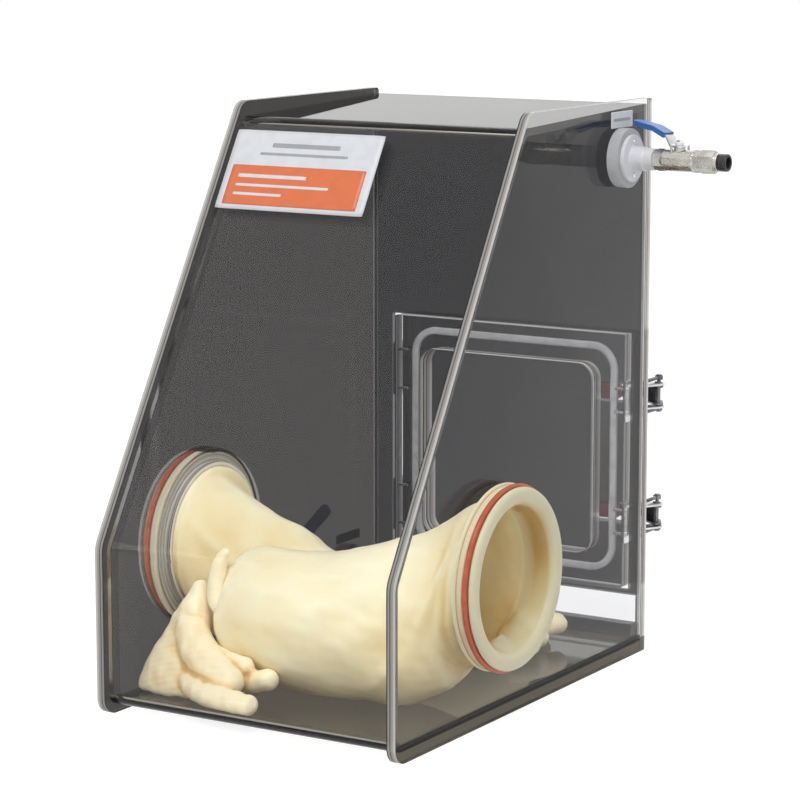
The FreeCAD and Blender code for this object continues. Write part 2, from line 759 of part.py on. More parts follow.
def latch_lever(center):
    """Lever: two arms on the pivot and the link pin, joined by a tongue for the grip."""
    y = lever_web_y()
    root = door_edge - 6.0
    arms = []
    for side in (-1, 1):
        low = center + side * (lever_arm_offset + lever_arm_thickness / 2) - lever_arm_thickness / 2
        up = Vector(0, 0, lever_arm_thickness)
        hub = Part.makeCylinder(lever_hub_r, lever_arm_thickness, Vector(pivot_x, pivot_y, low))
        eye = Part.makeCylinder(lever_eye_r, lever_arm_thickness, Vector(link_x, link_y, low))
        blade = rounded_plate([(root, y - lever_tongue_thickness / 2, 0), (pivot_x - 4.0, pivot_y - 4.4, 0),
                               (pivot_x + 4.4, pivot_y + 4.0, 0), (link_x + 3.4, link_y + 3.0, 0),
                               (link_x - 2.0, link_y + 4.1, 0), (root, y + lever_tongue_thickness / 2, 0)],
                              on_z(low), up)
        arms.append(hub.fuse([eye, blade]))
    width = 2 * (lever_arm_offset + lever_arm_thickness)
    plate = Part.makeBox(14.0, lever_tongue_thickness, width,
                         Vector(root, y - lever_tongue_thickness / 2, center - width / 2))
    tongue = Part.makeBox(lever_reach, lever_tongue_thickness, lever_tongue_width,
                          Vector(root - lever_reach + 2.0, y - lever_tongue_thickness / 2,
                                 center - lever_tongue_width / 2))
    lever = arms[0].fuse([arms[1], plate, tongue])
    lever = lever.cut([rod(Vector(pivot_x, pivot_y, center - width), Vector(pivot_x, pivot_y, center + width),
                           pivot_rivet_r + pin_clearance),
                       rod(Vector(link_x, link_y, center - width), Vector(link_x, link_y, center + width),
                           link_pin_r + pin_clearance)])
    return lever.removeSplitter()


def grip_end():
    """The free end of the lever's tongue."""
    return door_edge - 6.0 - lever_reach + 2.0


def latch_grip(center):
    """Dipped grip over the lever's tongue."""
    y = lever_web_y()
    start = grip_end() - 3.0
    corners = rectangle(grip_length, grip_width, grip_width / 2 - 1.0, start + grip_length / 2, center)
    body = rounded_plate(corners, on_y(y - grip_thickness / 2), Vector(0, grip_thickness, 0))
    body = body.makeFillet(3.0, [edge for edge in body.Edges if edge.BoundBox.YLength < 1e-6])
    socket = Part.makeBox(grip_length, lever_tongue_thickness + 0.2, lever_tongue_width + 0.2,
                          Vector(grip_end() - 0.1, y - lever_tongue_thickness / 2 - 0.1,
                                 center - lever_tongue_width / 2 - 0.1))
    return body.cut(socket)


def link_pin(center):
    """Pin on the lever that pulls the loop."""
    half = loop_offset + loop_wire_r + 0.4
    low = Vector(link_x, link_y, center - half)
    high = Vector(link_x, link_y, center + half)
    head = Vector(0, 0, 1.0)
    return rod(low, high, link_pin_r).fuse([rod(low - head, low, link_pin_r + 1.2),
                                            rod(high, high + head, link_pin_r + 1.2)])


def latch_loop(center):
    """Wire loop with an eye on each end of the link pin; its bar reaches over the keeper's lip."""
    bar_x = door_edge + keeper_lip_reach + loop_clear_of_lip + loop_wire_r
    bar_y = side_depth + loop_hook_y
    low, high = center - loop_offset, center + loop_offset
    course = [Vector(link_x, link_y, low), Vector(bar_x, bar_y, low),
              Vector(bar_x, bar_y, high), Vector(link_x, link_y, high)]
    along = course[0] - course[1]
    along.normalize()
    up = Vector(0, 0, 1)
    slant = 1 - math.cos(math.pi / 4)
    bends = []
    for corner, inward in ((course[1], up), (course[2], -up)):
        first, last = corner + along * loop_bend_r, corner + inward * loop_bend_r
        middle = corner + (along + inward) * (loop_bend_r * slant)
        bends.append((first, middle, last))
    lines = [(course[0] + (course[1] - course[0]) * 0.04, bends[0][0]), (bends[0][2], bends[1][2]),
             (bends[1][0], course[3] + (course[2] - course[3]) * 0.04)]
    edges = [Part.LineSegment(*lines[0]).toShape(), Part.Arc(*bends[0]).toShape(),
             Part.LineSegment(*lines[1]).toShape(), Part.Arc(*reversed(bends[1])).toShape(),
             Part.LineSegment(*lines[2]).toShape()]
    section = Part.Wire(Part.makeCircle(loop_wire_r, lines[0][0], along))
    wire = Part.Wire(edges).makePipeShell([section], True, True)
    eyes = [Part.makeCylinder(lever_eye_r - 0.2, 2 * loop_wire_r + 0.4,
                              Vector(link_x, link_y, z - loop_wire_r - 0.2)) for z in (low, high)]
    reach = loop_offset + 2 * loop_wire_r
    bore = rod(Vector(link_x, link_y, center - reach), Vector(link_x, link_y, center + reach),
               link_pin_r + pin_clearance)
    return wire.fuse(eyes).cut(bore)


# Valves, made along +X from the outer face of the right panel and centred on the X axis.
# The stem points along +Z and the lever along -X until they are turned.

flange_end = clear_flange_thickness
adaptor_end = flange_end + adaptor_flange_thickness + adaptor_length
nipple_end = adaptor_end + nipple_length - 5.5
body_start = nipple_end
body_end = body_start + valve_body_length
stem_x = body_start + valve_body_length / 2
fitting_end = body_end + fitting_hex_length + fitting_shoulder_length
collar_end = fitting_end + collar_reach


def clear_flange():
    """Thick clear disc between the panel and the white adaptor."""
    disc = turned([(0, adaptor_spigot_r + glue_gap, 0), (0, clear_flange_r, 0.8),
                   (clear_flange_thickness, clear_flange_r, 1.2),
                   (clear_flange_thickness, adaptor_spigot_r + glue_gap, 0)], 0, 0)
    return disc.cut(flange_screw_holes(clear_flange_thickness - 8.0))


def flange_screw_holes(start):
    """Holes for the two screws of the adaptor."""
    return [rod(Vector(start, 0, side * flange_screw_spacing / 2),
                Vector(flange_end + adaptor_flange_thickness, 0, side * flange_screw_spacing / 2),
                flange_screw_r + screw_clearance) for side in (-1, 1)]


def adaptor():
    """White adaptor: spigot through the panel, screwed flange and a neck for the nipple."""
    face = flange_end
    neck = face + adaptor_flange_thickness
    profile = [(-side_thickness, flow_bore_r, 0), (-side_thickness, adaptor_spigot_r, 0.6),
               (face, adaptor_spigot_r, 0), (face, adaptor_flange_r, 0.6), (neck, adaptor_flange_r, 1.0),
               (neck, adaptor_tube_r, 1.5), (neck + adaptor_length * 0.55, adaptor_tube_r, 2.0),
               (neck + adaptor_length * 0.62, adaptor_tube_end_r, 2.0),
               (neck + adaptor_length, adaptor_tube_end_r, 0.8), (neck + adaptor_length, 6.8, 0),
               (neck + adaptor_length - 9.0, 6.8, 0), (neck + adaptor_length - 9.0, flow_bore_r, 0)]
    return turned(profile, 0, 0).cut(flange_screw_holes(face))


def flange_screws():
    """Two screws of the adaptor's flange."""
    start = flange_end + adaptor_flange_thickness
    return [pan_screw(Vector(start, 0, side * flange_screw_spacing / 2), 0.0, -1,
                      flange_screw_r, flange_screw_head_r, flange_screw_head_height, 11.0)
            for side in (-1, 1)]


def hex_bar(start, length, across_flats, bevel):
    """Hexagonal bar along X with its corners turned off."""
    bar = rounded_plate(hexagon(across_flats), on_x(start), Vector(length, 0, 0))
    r = across_flats / math.sqrt(3)
    barrel = turned([(start, 0, 0), (start, r - bevel, 0), (start + bevel, r, 0),
                     (start + length - bevel, r, 0), (start + length, r - bevel, 0),
                     (start + length, 0, 0)], 0, 0)
    return bar.common(barrel)


def nipple():
    """Threaded nipple from the adaptor into the valve, with a hexagon between."""
    stub = rod(Vector(adaptor_end - 8.0, 0, 0), Vector(body_start + 7.0, 0, 0), 6.6)
    flats = hex_bar(adaptor_end, body_start - adaptor_end, nipple_hex, 1.0)
    bore = rod(Vector(adaptor_end - 8.0, 0, 0), Vector(body_start + 7.0, 0, 0), flow_bore_r)
    return stub.fuse(flats).cut(bore)


def stop_pins():
    """Two pins that the lever's edges meet at the ends of its quarter turn."""
    touch = math.asin((lever_plate_width / 2 + stop_pin_r) / stop_pin_circle_r)
    away = touch + math.radians(stop_pin_play_deg)
    pins = []
    for angle in (-away, math.pi / 2 + away):
        a = stem_x - stop_pin_circle_r * math.cos(angle)
        b = stop_pin_circle_r * math.sin(angle)
        pins.append(rod(Vector(a, b, 5.0), Vector(a, b, stop_pin_height), stop_pin_r))
    return pins


def valve_body():
    """Ball valve body: hexagon ends, round middle, stem boss and stop pin."""
    middle = turned([(body_start + 4.0, 0, 0), (body_start + 4.0, 9.4, 0), (body_start + 9.0, valve_body_r, 2.0),
                     (body_end - 7.0, valve_body_r, 1.5), (body_end - 4.0, 9.6, 0), (body_end - 4.0, 0, 0)], 0, 0)
    near = hex_bar(body_start, valve_collar_length, valve_collar_hex, 1.0)
    far = hex_bar(body_end - valve_collar_length, valve_collar_length, valve_collar_hex, 1.0)
    boss = rod(Vector(stem_x, 0, 0), Vector(stem_x, 0, stem_boss_height), stem_boss_r)
    solid = middle.fuse([near, far, boss] + stop_pins())
    cavity = Part.makeSphere(valve_ball_r + valve_ball_gap, Vector(stem_x, 0, 0))
    through = rod(Vector(body_start, 0, 0), Vector(body_end, 0, 0), flow_bore_r)
    near_socket = rod(Vector(body_start, 0, 0), Vector(body_start + 7.5, 0, 0), 6.7)
    far_socket = rod(Vector(body_end - 7.5, 0, 0), Vector(body_end, 0, 0), 6.7)
    stem_hole = rod(Vector(stem_x, 0, 0), Vector(stem_x, 0, stem_boss_height + 1), stem_r + stem_gap)
    return solid.cut([cavity, through, near_socket, far_socket, stem_hole])


def valve_ball():
    """Bored ball with a slot on top for the stem's tongue."""
    ball = Part.makeSphere(valve_ball_r, Vector(stem_x, 0, 0))
    bore = rod(Vector(stem_x - valve_ball_r - 1, 0, 0), Vector(stem_x + valve_ball_r + 1, 0, 0), flow_bore_r)
    slot_bottom = valve_ball_r - 2.6
    slot = Part.makeBox(2 * valve_ball_r, stem_tongue + 2 * stem_tongue_gap, 4.0,
                        Vector(stem_x - valve_ball_r, -stem_tongue / 2 - stem_tongue_gap, slot_bottom))
    return ball.cut([bore, slot])


def valve_stem():
    """Stem with a tongue in the ball's slot and flats for the lever."""
    shoulder = valve_ball_r + valve_ball_gap + 0.4
    shaft = rod(Vector(stem_x, 0, shoulder), Vector(stem_x, 0, stem_height), stem_r)
    tongue = Part.makeBox(4.8, stem_tongue, shoulder - valve_ball_r + 2.2,
                          Vector(stem_x - 2.4, -stem_tongue / 2, valve_ball_r - 2.2))
    flat_start = lever_plate_lift - lever_plate_thickness / 2 - 0.2
    flats = [Part.makeBox(2 * stem_r, stem_r, stem_height,
                          Vector(stem_x - stem_r, side * 2.2 - (stem_r if side < 0 else 0), flat_start))
             for side in (-1, 1)]
    return shaft.cut(flats).fuse(tongue)


def lever_path():
    """Side view of the valve lever's middle line as (distance from the stem, height)."""
    return [(-lever_tail, lever_plate_lift), (8.0, lever_plate_lift), (15.0, lever_plate_lift + 10.0),
            (34.0, lever_plate_lift + 17.0), (lever_length, lever_plate_lift + 21.0)]


def strip(path, thickness, width, radius):
    """Flat strip of a thickness about a side-view path, running along -X from the stem."""
    upper = []
    lower = []
    for i, (a, b) in enumerate(path):
        before = path[max(i - 1, 0)]
        after = path[min(i + 1, len(path) - 1)]
        to = (math.atan2(b - before[1], a - before[0]) if i > 0 else None,
              math.atan2(after[1] - b, after[0] - a) if i < len(path) - 1 else None)
        angles = [angle for angle in to if angle is not None]
        mean = sum(angles) / len(angles)
        stretch = thickness / 2 / math.cos((angles[-1] - angles[0]) / 2)
        bend = radius if 0 < i < len(path) - 1 else 0
        upper.append((stem_x - a + stretch * math.sin(mean), b + stretch * math.cos(mean), bend))
        lower.append((stem_x - a - stretch * math.sin(mean), b - stretch * math.cos(mean), bend))
    outline = upper + list(reversed(lower))
    return rounded_plate(outline, on_y(-width / 2), Vector(0, width, 0))


def lever_outline(extra):
    """The valve lever seen from above, with rounded ends."""
    width = lever_plate_width + extra
    return rectangle(lever_length + lever_tail + extra, width, width / 2 - 0.2,
                     stem_x - (lever_length - lever_tail) / 2, 0)


def valve_lever():
    """Cranked flat lever with a round pad on the stem."""
    plate = strip(lever_path(), lever_plate_thickness, lever_plate_width, 2.5)
    outline = lever_outline(0.0)
    shape = plate.common(rounded_plate(outline, on_z(0), Vector(0, 0, lever_plate_lift + 40)))
    hole = rod(Vector(stem_x, 0, 0), Vector(stem_x, 0, stem_height), stem_r + stem_gap)
    keep = Part.makeBox(2 * stem_r + 1, 2 * 2.2 + 2 * stem_gap, stem_height,
                        Vector(stem_x - stem_r - 0.5, -2.2 - stem_gap, 0))
    return shape.cut(hole.common(keep))


def lever_sleeve():
    """Dipped sleeve over the long part of the valve lever."""
    elbow, bend, end = lever_path()[2:]
    start = (elbow[0] + 2.0, elbow[1] + 2.0 * (bend[1] - elbow[1]) / (bend[0] - elbow[0]))
    path = [start, bend, (end[0] + sleeve_wall, end[1] + 0.2)]
    body = strip(path, lever_plate_thickness + 2 * sleeve_wall, sleeve_width + 1.0, 4.0)
    trim = rectangle(lever_length + 20.0, sleeve_width + 1.0, sleeve_width / 2,
                     stem_x - lever_length / 2 + 10.0 - sleeve_wall, 0)
    body = body.common(rounded_plate(trim, on_z(0), Vector(0, 0, lever_plate_lift + 60)))
    core = strip(lever_path(), lever_plate_thickness + 0.1, lever_plate_width + 0.1, 2.5)
    outline = lever_outline(0.1)
    return body.cut(core.common(rounded_plate(outline, on_z(0), Vector(0, 0, lever_plate_lift + 60))))


def lever_nut():
    """Nut that holds the lever on the stem."""
    base = lever_plate_lift + lever_plate_thickness / 2
    corners = [(stem_x + a, b, r) for a, b, r in hexagon(lever_nut_hex)]
    nut = rounded_plate(corners, on_z(base), Vector(0, 0, lever_nut_height))
    hole = rod(Vector(stem_x, 0, base), Vector(stem_x, 0, base + lever_nut_height), stem_r + screw_clearance)
    return nut.cut(hole)


def tube_fitting():
    """Push-in tube fitting: hexagon, shoulder, tube bore and room for the release collar."""
    stub = rod(Vector(body_end - 7.0, 0, 0), Vector(body_end, 0, 0), 6.6)
    flats = hex_bar(body_end, fitting_hex_length, fitting_hex, 1.2)
    shoulder = turned([(body_end + fitting_hex_length, 0, 0),
                       (body_end + fitting_hex_length, fitting_shoulder_r, 0),
                       (fitting_end, fitting_shoulder_r, 0.8), (fitting_end, 0, 0)], 0, 0)
    seat = fitting_end - collar_neck_length - collar_travel - running_gap
    tube_end = seat - tube_depth
    cuts = [rod(Vector(body_end - 7.0, 0, 0), Vector(fitting_end, 0, 0), flow_bore_r),
            rod(Vector(tube_end, 0, 0), Vector(fitting_end, 0, 0), tube_r + tube_gap),
            rod(Vector(seat, 0, 0), Vector(fitting_end, 0, 0), collar_neck_r + 0.08)]
    return stub.fuse([flats, shoulder]).cut(cuts)


def release_collar():
    """Black release collar; it slides into the fitting to free the tube."""
    neck_end = fitting_end - collar_neck_length
    lip = fitting_end + collar_travel + running_gap
    return turned([(neck_end, tube_r + 0.2, 0), (neck_end, collar_neck_r, 0), (lip, collar_neck_r, 0),
                   (lip, collar_r, 0.8), (collar_end, collar_r, 1.5), (collar_end, tube_r + 0.2, 0.8)], 0, 0)


def place_right_valve(shape, lever_turn=0.0):
    """Moves a valve piece to the right panel; lever_turn swings lever pieces about the stem."""
    shape = shape.copy()
    shape.rotate(Vector(stem_x, 0, 0), Vector(0, 0, 1), -lever_turn)
    shape.translate(Vector(side_outer, right_valve_y, right_valve_z))
    return shape


def place_left_valve(shape, lever_turn=0.0):
    """Moves a valve piece to the left panel, mirrored and tilted towards the front."""
    shape = shape.copy()
    shape.rotate(Vector(stem_x, 0, 0), Vector(0, 0, 1), -lever_turn)
    shape.rotate(Vector(0, 0, 0), Vector(1, 0, 0), left_stem_tilt_deg)
    shape = shape.mirror(*mirror_x)
    shape.translate(Vector(-side_outer, left_valve_y, left_valve_z))
    return shape


def valve_nodes(prefix, place, turn):
    """All pieces of one valve but those that both valves share a node for."""
    fixed = {"clear_flange": clear_flange(), "white_adaptor": adaptor(), "valve_body": valve_body(),
             "tube_fitting": tube_fitting(), "release_collar": release_collar()}
    turning = {"valve_ball": valve_ball(), "valve_stem": valve_stem(), "valve_lever": valve_lever(),
               "lever_sleeve": lever_sleeve(), "lever_nut": lever_nut()}
    nodes = {prefix + name: place(shape) for name, shape in fixed.items()}
    nodes.update({prefix + name: place(shape, turn) for name, shape in turning.items()})
    return nodes


def enclosure_nodes():
    """Panels, bent sheet and battens."""
    return {"right_side_panel": side_panel(right_valve_y, right_valve_z),
            "left_side_panel": side_panel(left_valve_y, left_valve_z).mirror(*mirror_x),
            "wrap_sheet": wrap_sheet(), "back_panel": back_panel(),
            "top_batten": top_batten(), "bottom_batten": bottom_batten()}


def port_nodes():
    """Arm ports with their gloves."""
    return {"right_port_ring": port_ring(), "left_port_ring": port_ring().mirror(*mirror_x),
            "right_cuff_oring": cuff_oring(), "left_cuff_oring": cuff_oring().mirror(*mirror_x),
            "right_glove": right_glove(), "left_glove": left_glove()}


def door_nodes():
    """Transfer door, its seal and its hinges."""
    nodes = {"door_frame": door_frame(), "door_seal": door_seal(), "door_panel": door_panel()}
    pins = []
    for name, center in zip(("lower", "upper"), hinge_centers()):
        nodes[name + "_hinge_frame_leaf"] = hinge_leaf(center, -1)
        nodes[name + "_hinge_door_leaf"] = hinge_leaf(center, 1)
        half = hinge_height / 2 - 0.5
        pins.append(rod(Vector(hinge_axis_x, hinge_axis_y, center - half),
                        Vector(hinge_axis_x, hinge_axis_y, center + half), hinge_pin_r))
    nodes["hinge_pins"] = group(pins)
    nodes["hinge_frame_screws"] = group([countersunk_screw(p) for p in hinge_screw_starts(frame_screw_y)])
    nodes["hinge_door_screws"] = group([countersunk_screw(p) for p in hinge_screw_starts(door_screw_y)])
    return nodes


def latch_nodes():
    """Both draw latches."""
    sizes = (latch_screw_r, latch_screw_head_r, latch_screw_head_height, latch_screw_depth)
    nodes = {"keeper_screws": group([pan_screw(p, latch_plate_thickness, -1, *sizes)
                                     for p in keeper_screw_starts()]),
             "latch_base_screws": group([pan_screw(p, latch_base_thickness, -1, *sizes)
                                         for p in latch_screw_starts()]),
             "latch_pivot_rivets": group([pivot_rivet(center) for center in latch_centers()])}
    for name, center in zip(("lower", "upper"), latch_centers()):
        nodes[name + "_keeper"] = keeper(center)
        nodes[name + "_latch_base"] = latch_base(center)
        nodes[name + "_latch_lever"] = latch_lever(center)
        nodes[name + "_latch_grip"] = latch_grip(center)
        nodes[name + "_latch_loop"] = latch_loop(center)
        nodes[name + "_link_pin"] = link_pin(center)
    return nodes


def all_nodes():
    """Every node of the glove box at rest: door closed, latches closed."""
    nodes = enclosure_nodes()
    nodes.update(port_nodes())
    nodes.update(door_nodes())
    nodes.update(latch_nodes())
    nodes.update(valve_nodes("right_", place_right_valve, right_lever_turn_deg))
    nodes.update(valve_nodes("left_", place_left_valve, left_lever_turn_deg))
    nodes["valve_nipples"] = group([place_right_valve(nipple()), place_left_valve(nipple())])
    screws = [place(screw) for screw in flange_screws() for place in (place_right_valve, place_left_valve)]
    nodes["flange_screws"] = group(screws)
    return nodes


os.makedirs("parts", exist_ok=True)
for node, shape in all_nodes().items():
    shape = shape.copy()
    shape.translate(origin_shift)
    shape.exportStep(os.path.join("parts", node + ".step"))
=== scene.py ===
import math

import bmesh
import bpy
import numpy as np
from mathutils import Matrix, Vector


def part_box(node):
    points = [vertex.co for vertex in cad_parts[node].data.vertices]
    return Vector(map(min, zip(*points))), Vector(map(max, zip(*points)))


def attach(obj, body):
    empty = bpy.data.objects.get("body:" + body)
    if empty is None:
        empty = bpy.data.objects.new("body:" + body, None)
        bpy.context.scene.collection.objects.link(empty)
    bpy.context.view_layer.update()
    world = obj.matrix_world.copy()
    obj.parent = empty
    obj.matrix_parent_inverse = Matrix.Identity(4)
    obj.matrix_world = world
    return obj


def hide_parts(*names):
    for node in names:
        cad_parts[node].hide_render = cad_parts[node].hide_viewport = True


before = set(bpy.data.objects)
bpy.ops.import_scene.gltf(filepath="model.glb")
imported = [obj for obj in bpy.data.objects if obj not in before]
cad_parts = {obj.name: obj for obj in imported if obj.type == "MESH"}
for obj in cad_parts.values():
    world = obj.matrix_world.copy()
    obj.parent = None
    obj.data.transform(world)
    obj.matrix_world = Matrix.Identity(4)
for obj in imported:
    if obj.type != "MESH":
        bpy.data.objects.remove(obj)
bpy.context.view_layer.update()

bl_info = {
    "name": "Glove box dressing",
    "version": (1, 0, 0),
    "blender": (4, 5, 0),
    "location": "3D View > Sidebar > Glove Box",
    "description": "Finishes, gloves, seal, card and studio for the acrylic glove box",
    "category": "Object",
}

MM = 0.001
# FRONT is in metres, and the rest in millimetres until a comment says otherwise.
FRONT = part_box("right_side_panel")[0][1]
PANEL_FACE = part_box("right_side_panel")[1][0] / MM
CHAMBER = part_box("right_side_panel")[0][0] / MM
RING_LOW, RING_HIGH = (np.array(corner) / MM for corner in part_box("right_port_ring"))
PORT_Y = (RING_LOW[1] + RING_HIGH[1]) / 2 - FRONT / MM
PORT_Z = (RING_LOW[2] + RING_HIGH[2]) / 2
RING_R = (RING_HIGH[2] - RING_LOW[2]) / 2
RING_END = RING_HIGH[0] - PANEL_FACE
BORE_R = RING_R - 15.0
FLOOR_TOP = 17.0
CUFF_WALL = 1.3
CUFF_GAP = 0.25
CUFF_BORE = BORE_R - CUFF_GAP - CUFF_WALL / 2
SLEEVE_GIRTH = 430.0
SEAL_WIDTH = 7.6
SEAL_CORNER = 30.0
SLOPE_TOP = np.array([0.0, 237.7, 571.8])
SLOPE_LOW = np.array([0.0, 191.7, 494.8])
FACE_GAP = 0.04
WELD_REACH = 0.02

# Where sheets darkened by a tint of painted shade stay clear, across and up: over the door, and in a strip
# below it.
DOOR_LOW, DOOR_HIGH = (np.array(corner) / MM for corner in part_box("door_frame"))
DOOR_SPAN = (DOOR_LOW[0] + 1.0, DOOR_HIGH[0] + 12.0)
DOOR_RISE = (DOOR_LOW[2] + 1.0, DOOR_HIGH[2] + 3.0)
STRIP_SPAN = (-40.0, CHAMBER - 2.0)
STRIP_RISE = (FLOOR_TOP + 12.0, 61.0)
# Height at which the bent sheet's top run begins, and one over the whole box.
SHEET_TOP = 583.0
OVER_ALL = 700.0
# How far a grip's clear window in the door's painted shade is shifted, per millimetre between the two.
SIGHT_ACROSS = 0.6
SIGHT_RISE = 0.15
# Share of a normal along an axis from which a face counts as square to that axis.
FLAT_ON = 0.96
# Metres.
STUDIO_HALF = 12.0
LAMP_AIM = np.array([0.0, -0.05, 0.22])
CAMERA_SPOT = (1.558, -2.5548, 0.8015)


def to_frame(points):
    """Moves millimetres with y = 0 at the panels' front edge to metres in the part's frame."""
    return np.asarray(points, float) * MM + np.array([0.0, FRONT, 0.0])


def quads(rows, columns):
    """Corner numbers of a grid that is closed round its columns and open at its ends."""
    i, j = np.meshgrid(np.arange(rows - 1), np.arange(columns), indexing="ij")
    right = (j + 1) % columns
    corners = (i * columns + j, i * columns + right, (i + 1) * columns + right, (i + 1) * columns + j)
    return np.stack(corners, axis=-1).reshape(-1, 4)


def open_quads(rows, columns):
    """Corner numbers of a grid that is open on all sides."""
    i, j = np.meshgrid(np.arange(rows - 1), np.arange(columns - 1), indexing="ij")
    corner = i * columns + j
    return np.stack([corner, corner + 1, corner + columns + 1, corner + columns], axis=-1).reshape(-1, 4)


def fan(start, columns, middle):
    """Corner numbers of the triangles between the ring that begins at start and one middle."""
    ring = np.arange(columns)
    return np.stack([start + ring, start + (ring + 1) % columns, np.full(columns, middle)], axis=-1)


def read(items, key, width, kind=float):
    """One property of all the points or edges of a mesh, in rows of width."""
    values = np.zeros(len(items) * width, kind)
    items.foreach_get(key, values)
    return values.reshape(-1, width)


def new_mesh(name, points, faces, smooth=True):
    """Mesh object from points in the part's frame and a list or array of faces."""
    mesh = bpy.data.meshes.new(name)
    mesh.from_pydata(np.asarray(points).tolist(), [], [list(map(int, face)) for face in faces])
    mesh.polygons.foreach_set("use_smooth", np.full(len(mesh.polygons), smooth))
    mesh.validate()
    piece = bpy.data.objects.new(name, mesh)
    bpy.context.scene.collection.objects.link(piece)
    return piece


def tube_mesh(name, grid):
    """Mesh of a grid of points (rows, columns, 3) in millimetres of the making frame: each row is
    a closed ring, and both end rings are closed by a fan to their middle."""
    rows, columns = grid.shape[:2]
    count = rows * columns
    points = np.vstack([grid.reshape(-1, 3), grid[0].mean(axis=0), grid[-1].mean(axis=0)])
    low = fan(0, columns, count)[:, [1, 0, 2]]
    high = fan(count - columns, columns, count + 1)
    return new_mesh(name, to_frame(points), [*quads(rows, columns), *low, *high])


def through(stations, count):
    """Smooth curve through stations: cubic pieces whose slope at a station is half the step between
    its neighbours, sampled at count even parameters."""
    stations = np.asarray(stations, float)
    spots = np.linspace(0, len(stations) - 1, count)
    low = np.minimum(spots.astype(int), len(stations) - 2)
    t = (spots - low)[:, None]
    padded = np.vstack([2 * stations[0] - stations[1], stations, 2 * stations[-1] - stations[-2]])
    before, start, end, after = (padded[low + k] for k in range(4))
    return (start + 0.5 * t * (end - before) + t ** 2 * (before - 2.5 * start + 2 * end - 0.5 * after)
            + t ** 3 * (1.5 * (start - end) + 0.5 * (after - before)))


def softened(corners, steps=6):
    """Profile through corners (a, b, radius), each corner of a radius replaced by an arc that
    touches both of its sides."""
    points = []
    corners = np.asarray(corners, float)
    for k, (a, b, radius) in enumerate(corners):
        if radius == 0 or k in (0, len(corners) - 1):
            points.append((a, b))
            continue
        here = np.array([a, b])
        one = corners[k - 1, :2] - here
        two = corners[k + 1, :2] - here
        one = one / np.linalg.norm(one)
        two = two / np.linalg.norm(two)
        half = math.acos(np.clip(one @ two, -1, 1)) / 2
        start = here + one * radius / math.tan(half)
        end = here + two * radius / math.tan(half)
        middle = here + (one + two) / np.linalg.norm(one + two) * radius / math.sin(half)
        from_angle = math.atan2(*(start - middle)[::-1])
        turn = (math.atan2(*(end - middle)[::-1]) - from_angle + math.pi) % (2 * math.pi) - math.pi
        angles = from_angle + turn * np.linspace(0, 1, steps)
        points += [tuple(middle + radius * np.array([math.cos(w), math.sin(w)])) for w in angles]
    return np.array(points)


def turned_rings(profile, columns, side):
    """Rings of a profile (reach from the panel's face, radius) turned about the port's axis."""
    angles = np.linspace(0, 2 * math.pi, columns, endpoint=False)
    x = np.repeat((side * (PANEL_FACE + profile[:, 0]))[:, None], columns, axis=1)
    y = PORT_Y + profile[:, 1:2] * np.sin(angles)
    z = PORT_Z + profile[:, 1:2] * np.cos(angles)
    return np.stack([x, y, z], axis=-1)


def oval_rings(stations, count, columns):
    """Rings through stations (x, middle y, middle z, half y, half z, lean): each ring is an oval
    in a plane across X, whose top is shifted along Y by its lean times its height."""
    path = through(stations, count)
    angles = np.linspace(0, 2 * math.pi, columns, endpoint=False)
    rise = path[:, 4:5] * np.cos(angles)
    y = path[:, 1:2] + path[:, 3:4] * np.sin(angles) + path[:, 5:6] * rise
    z = path[:, 2:3] + rise
    x = np.repeat(path[:, 0:1], columns, axis=1)
    return np.stack([x, y, z], axis=-1)


def outward(grid):
    """Unit directions across a grid of rings: the cross product of its two difference fields."""
    along = np.gradient(grid, axis=0)
    around = np.roll(grid, -1, axis=1) - np.roll(grid, 1, axis=1)
    across = np.cross(around, along)
    length = np.linalg.norm(across, axis=-1, keepdims=True)
    across = across / np.maximum(length, 1e-9)
    middle = grid.mean(axis=1, keepdims=True)
    sign = np.sign(np.sum(across * (grid - middle), axis=-1, keepdims=True))
    return across * np.where(sign == 0, 1, sign)


def folds(grid, creases):
    """Height of folds over a grid of rings. Each crease (x0, turn0, x1, turn1, width, height) runs
    between two places given by x and the share of a turn from the top, and its height falls off
    as a bell with the distance from that line, and to nothing at its ends."""
    columns = grid.shape[1]
    turn = np.broadcast_to(np.linspace(0, 1, columns, endpoint=False), grid.shape[:2])
    x = grid[..., 0]
    total = np.zeros(grid.shape[:2])
    for x0, turn0, x1, turn1, width, height in creases:
        du = (turn1 - turn0) * SLEEVE_GIRTH
        dx = x1 - x0
        u = ((turn - turn0 + 0.5) % 1.0 - 0.5) * SLEEVE_GIRTH
        along = ((x - x0) * dx + u * du) / (dx * dx + du * du)
        share = np.clip(along, 0, 1)
        away = np.hypot(x - x0 - share * dx, u - share * du)
        ends = np.clip(1.2 - np.abs(share - 0.5) * 2, 0, 1)
        total += height * ends * np.exp(-(away / width) ** 2)
    return total


def ripple(grid, seed, size, height):
    """Gentle unevenness: a sum of sine waves in fixed directions drawn from seed, whose wavelengths
    lie about size, and whose sum stays within about height."""
    draw = np.random.default_rng(seed)
    total = np.zeros(grid.shape[:-1])
    for _ in range(9):
        way = draw.normal(size=3)
        way = way / np.linalg.norm(way) * 2 * math.pi / (size * draw.uniform(0.6, 1.6))
        total += np.sin(grid @ way + draw.uniform(0, 2 * math.pi))
    return total * height / 4.5


def on_floor(half):
    """Height of the middle of an oval of half height half that lies on the floor."""
    return FLOOR_TOP + 1.5 + half


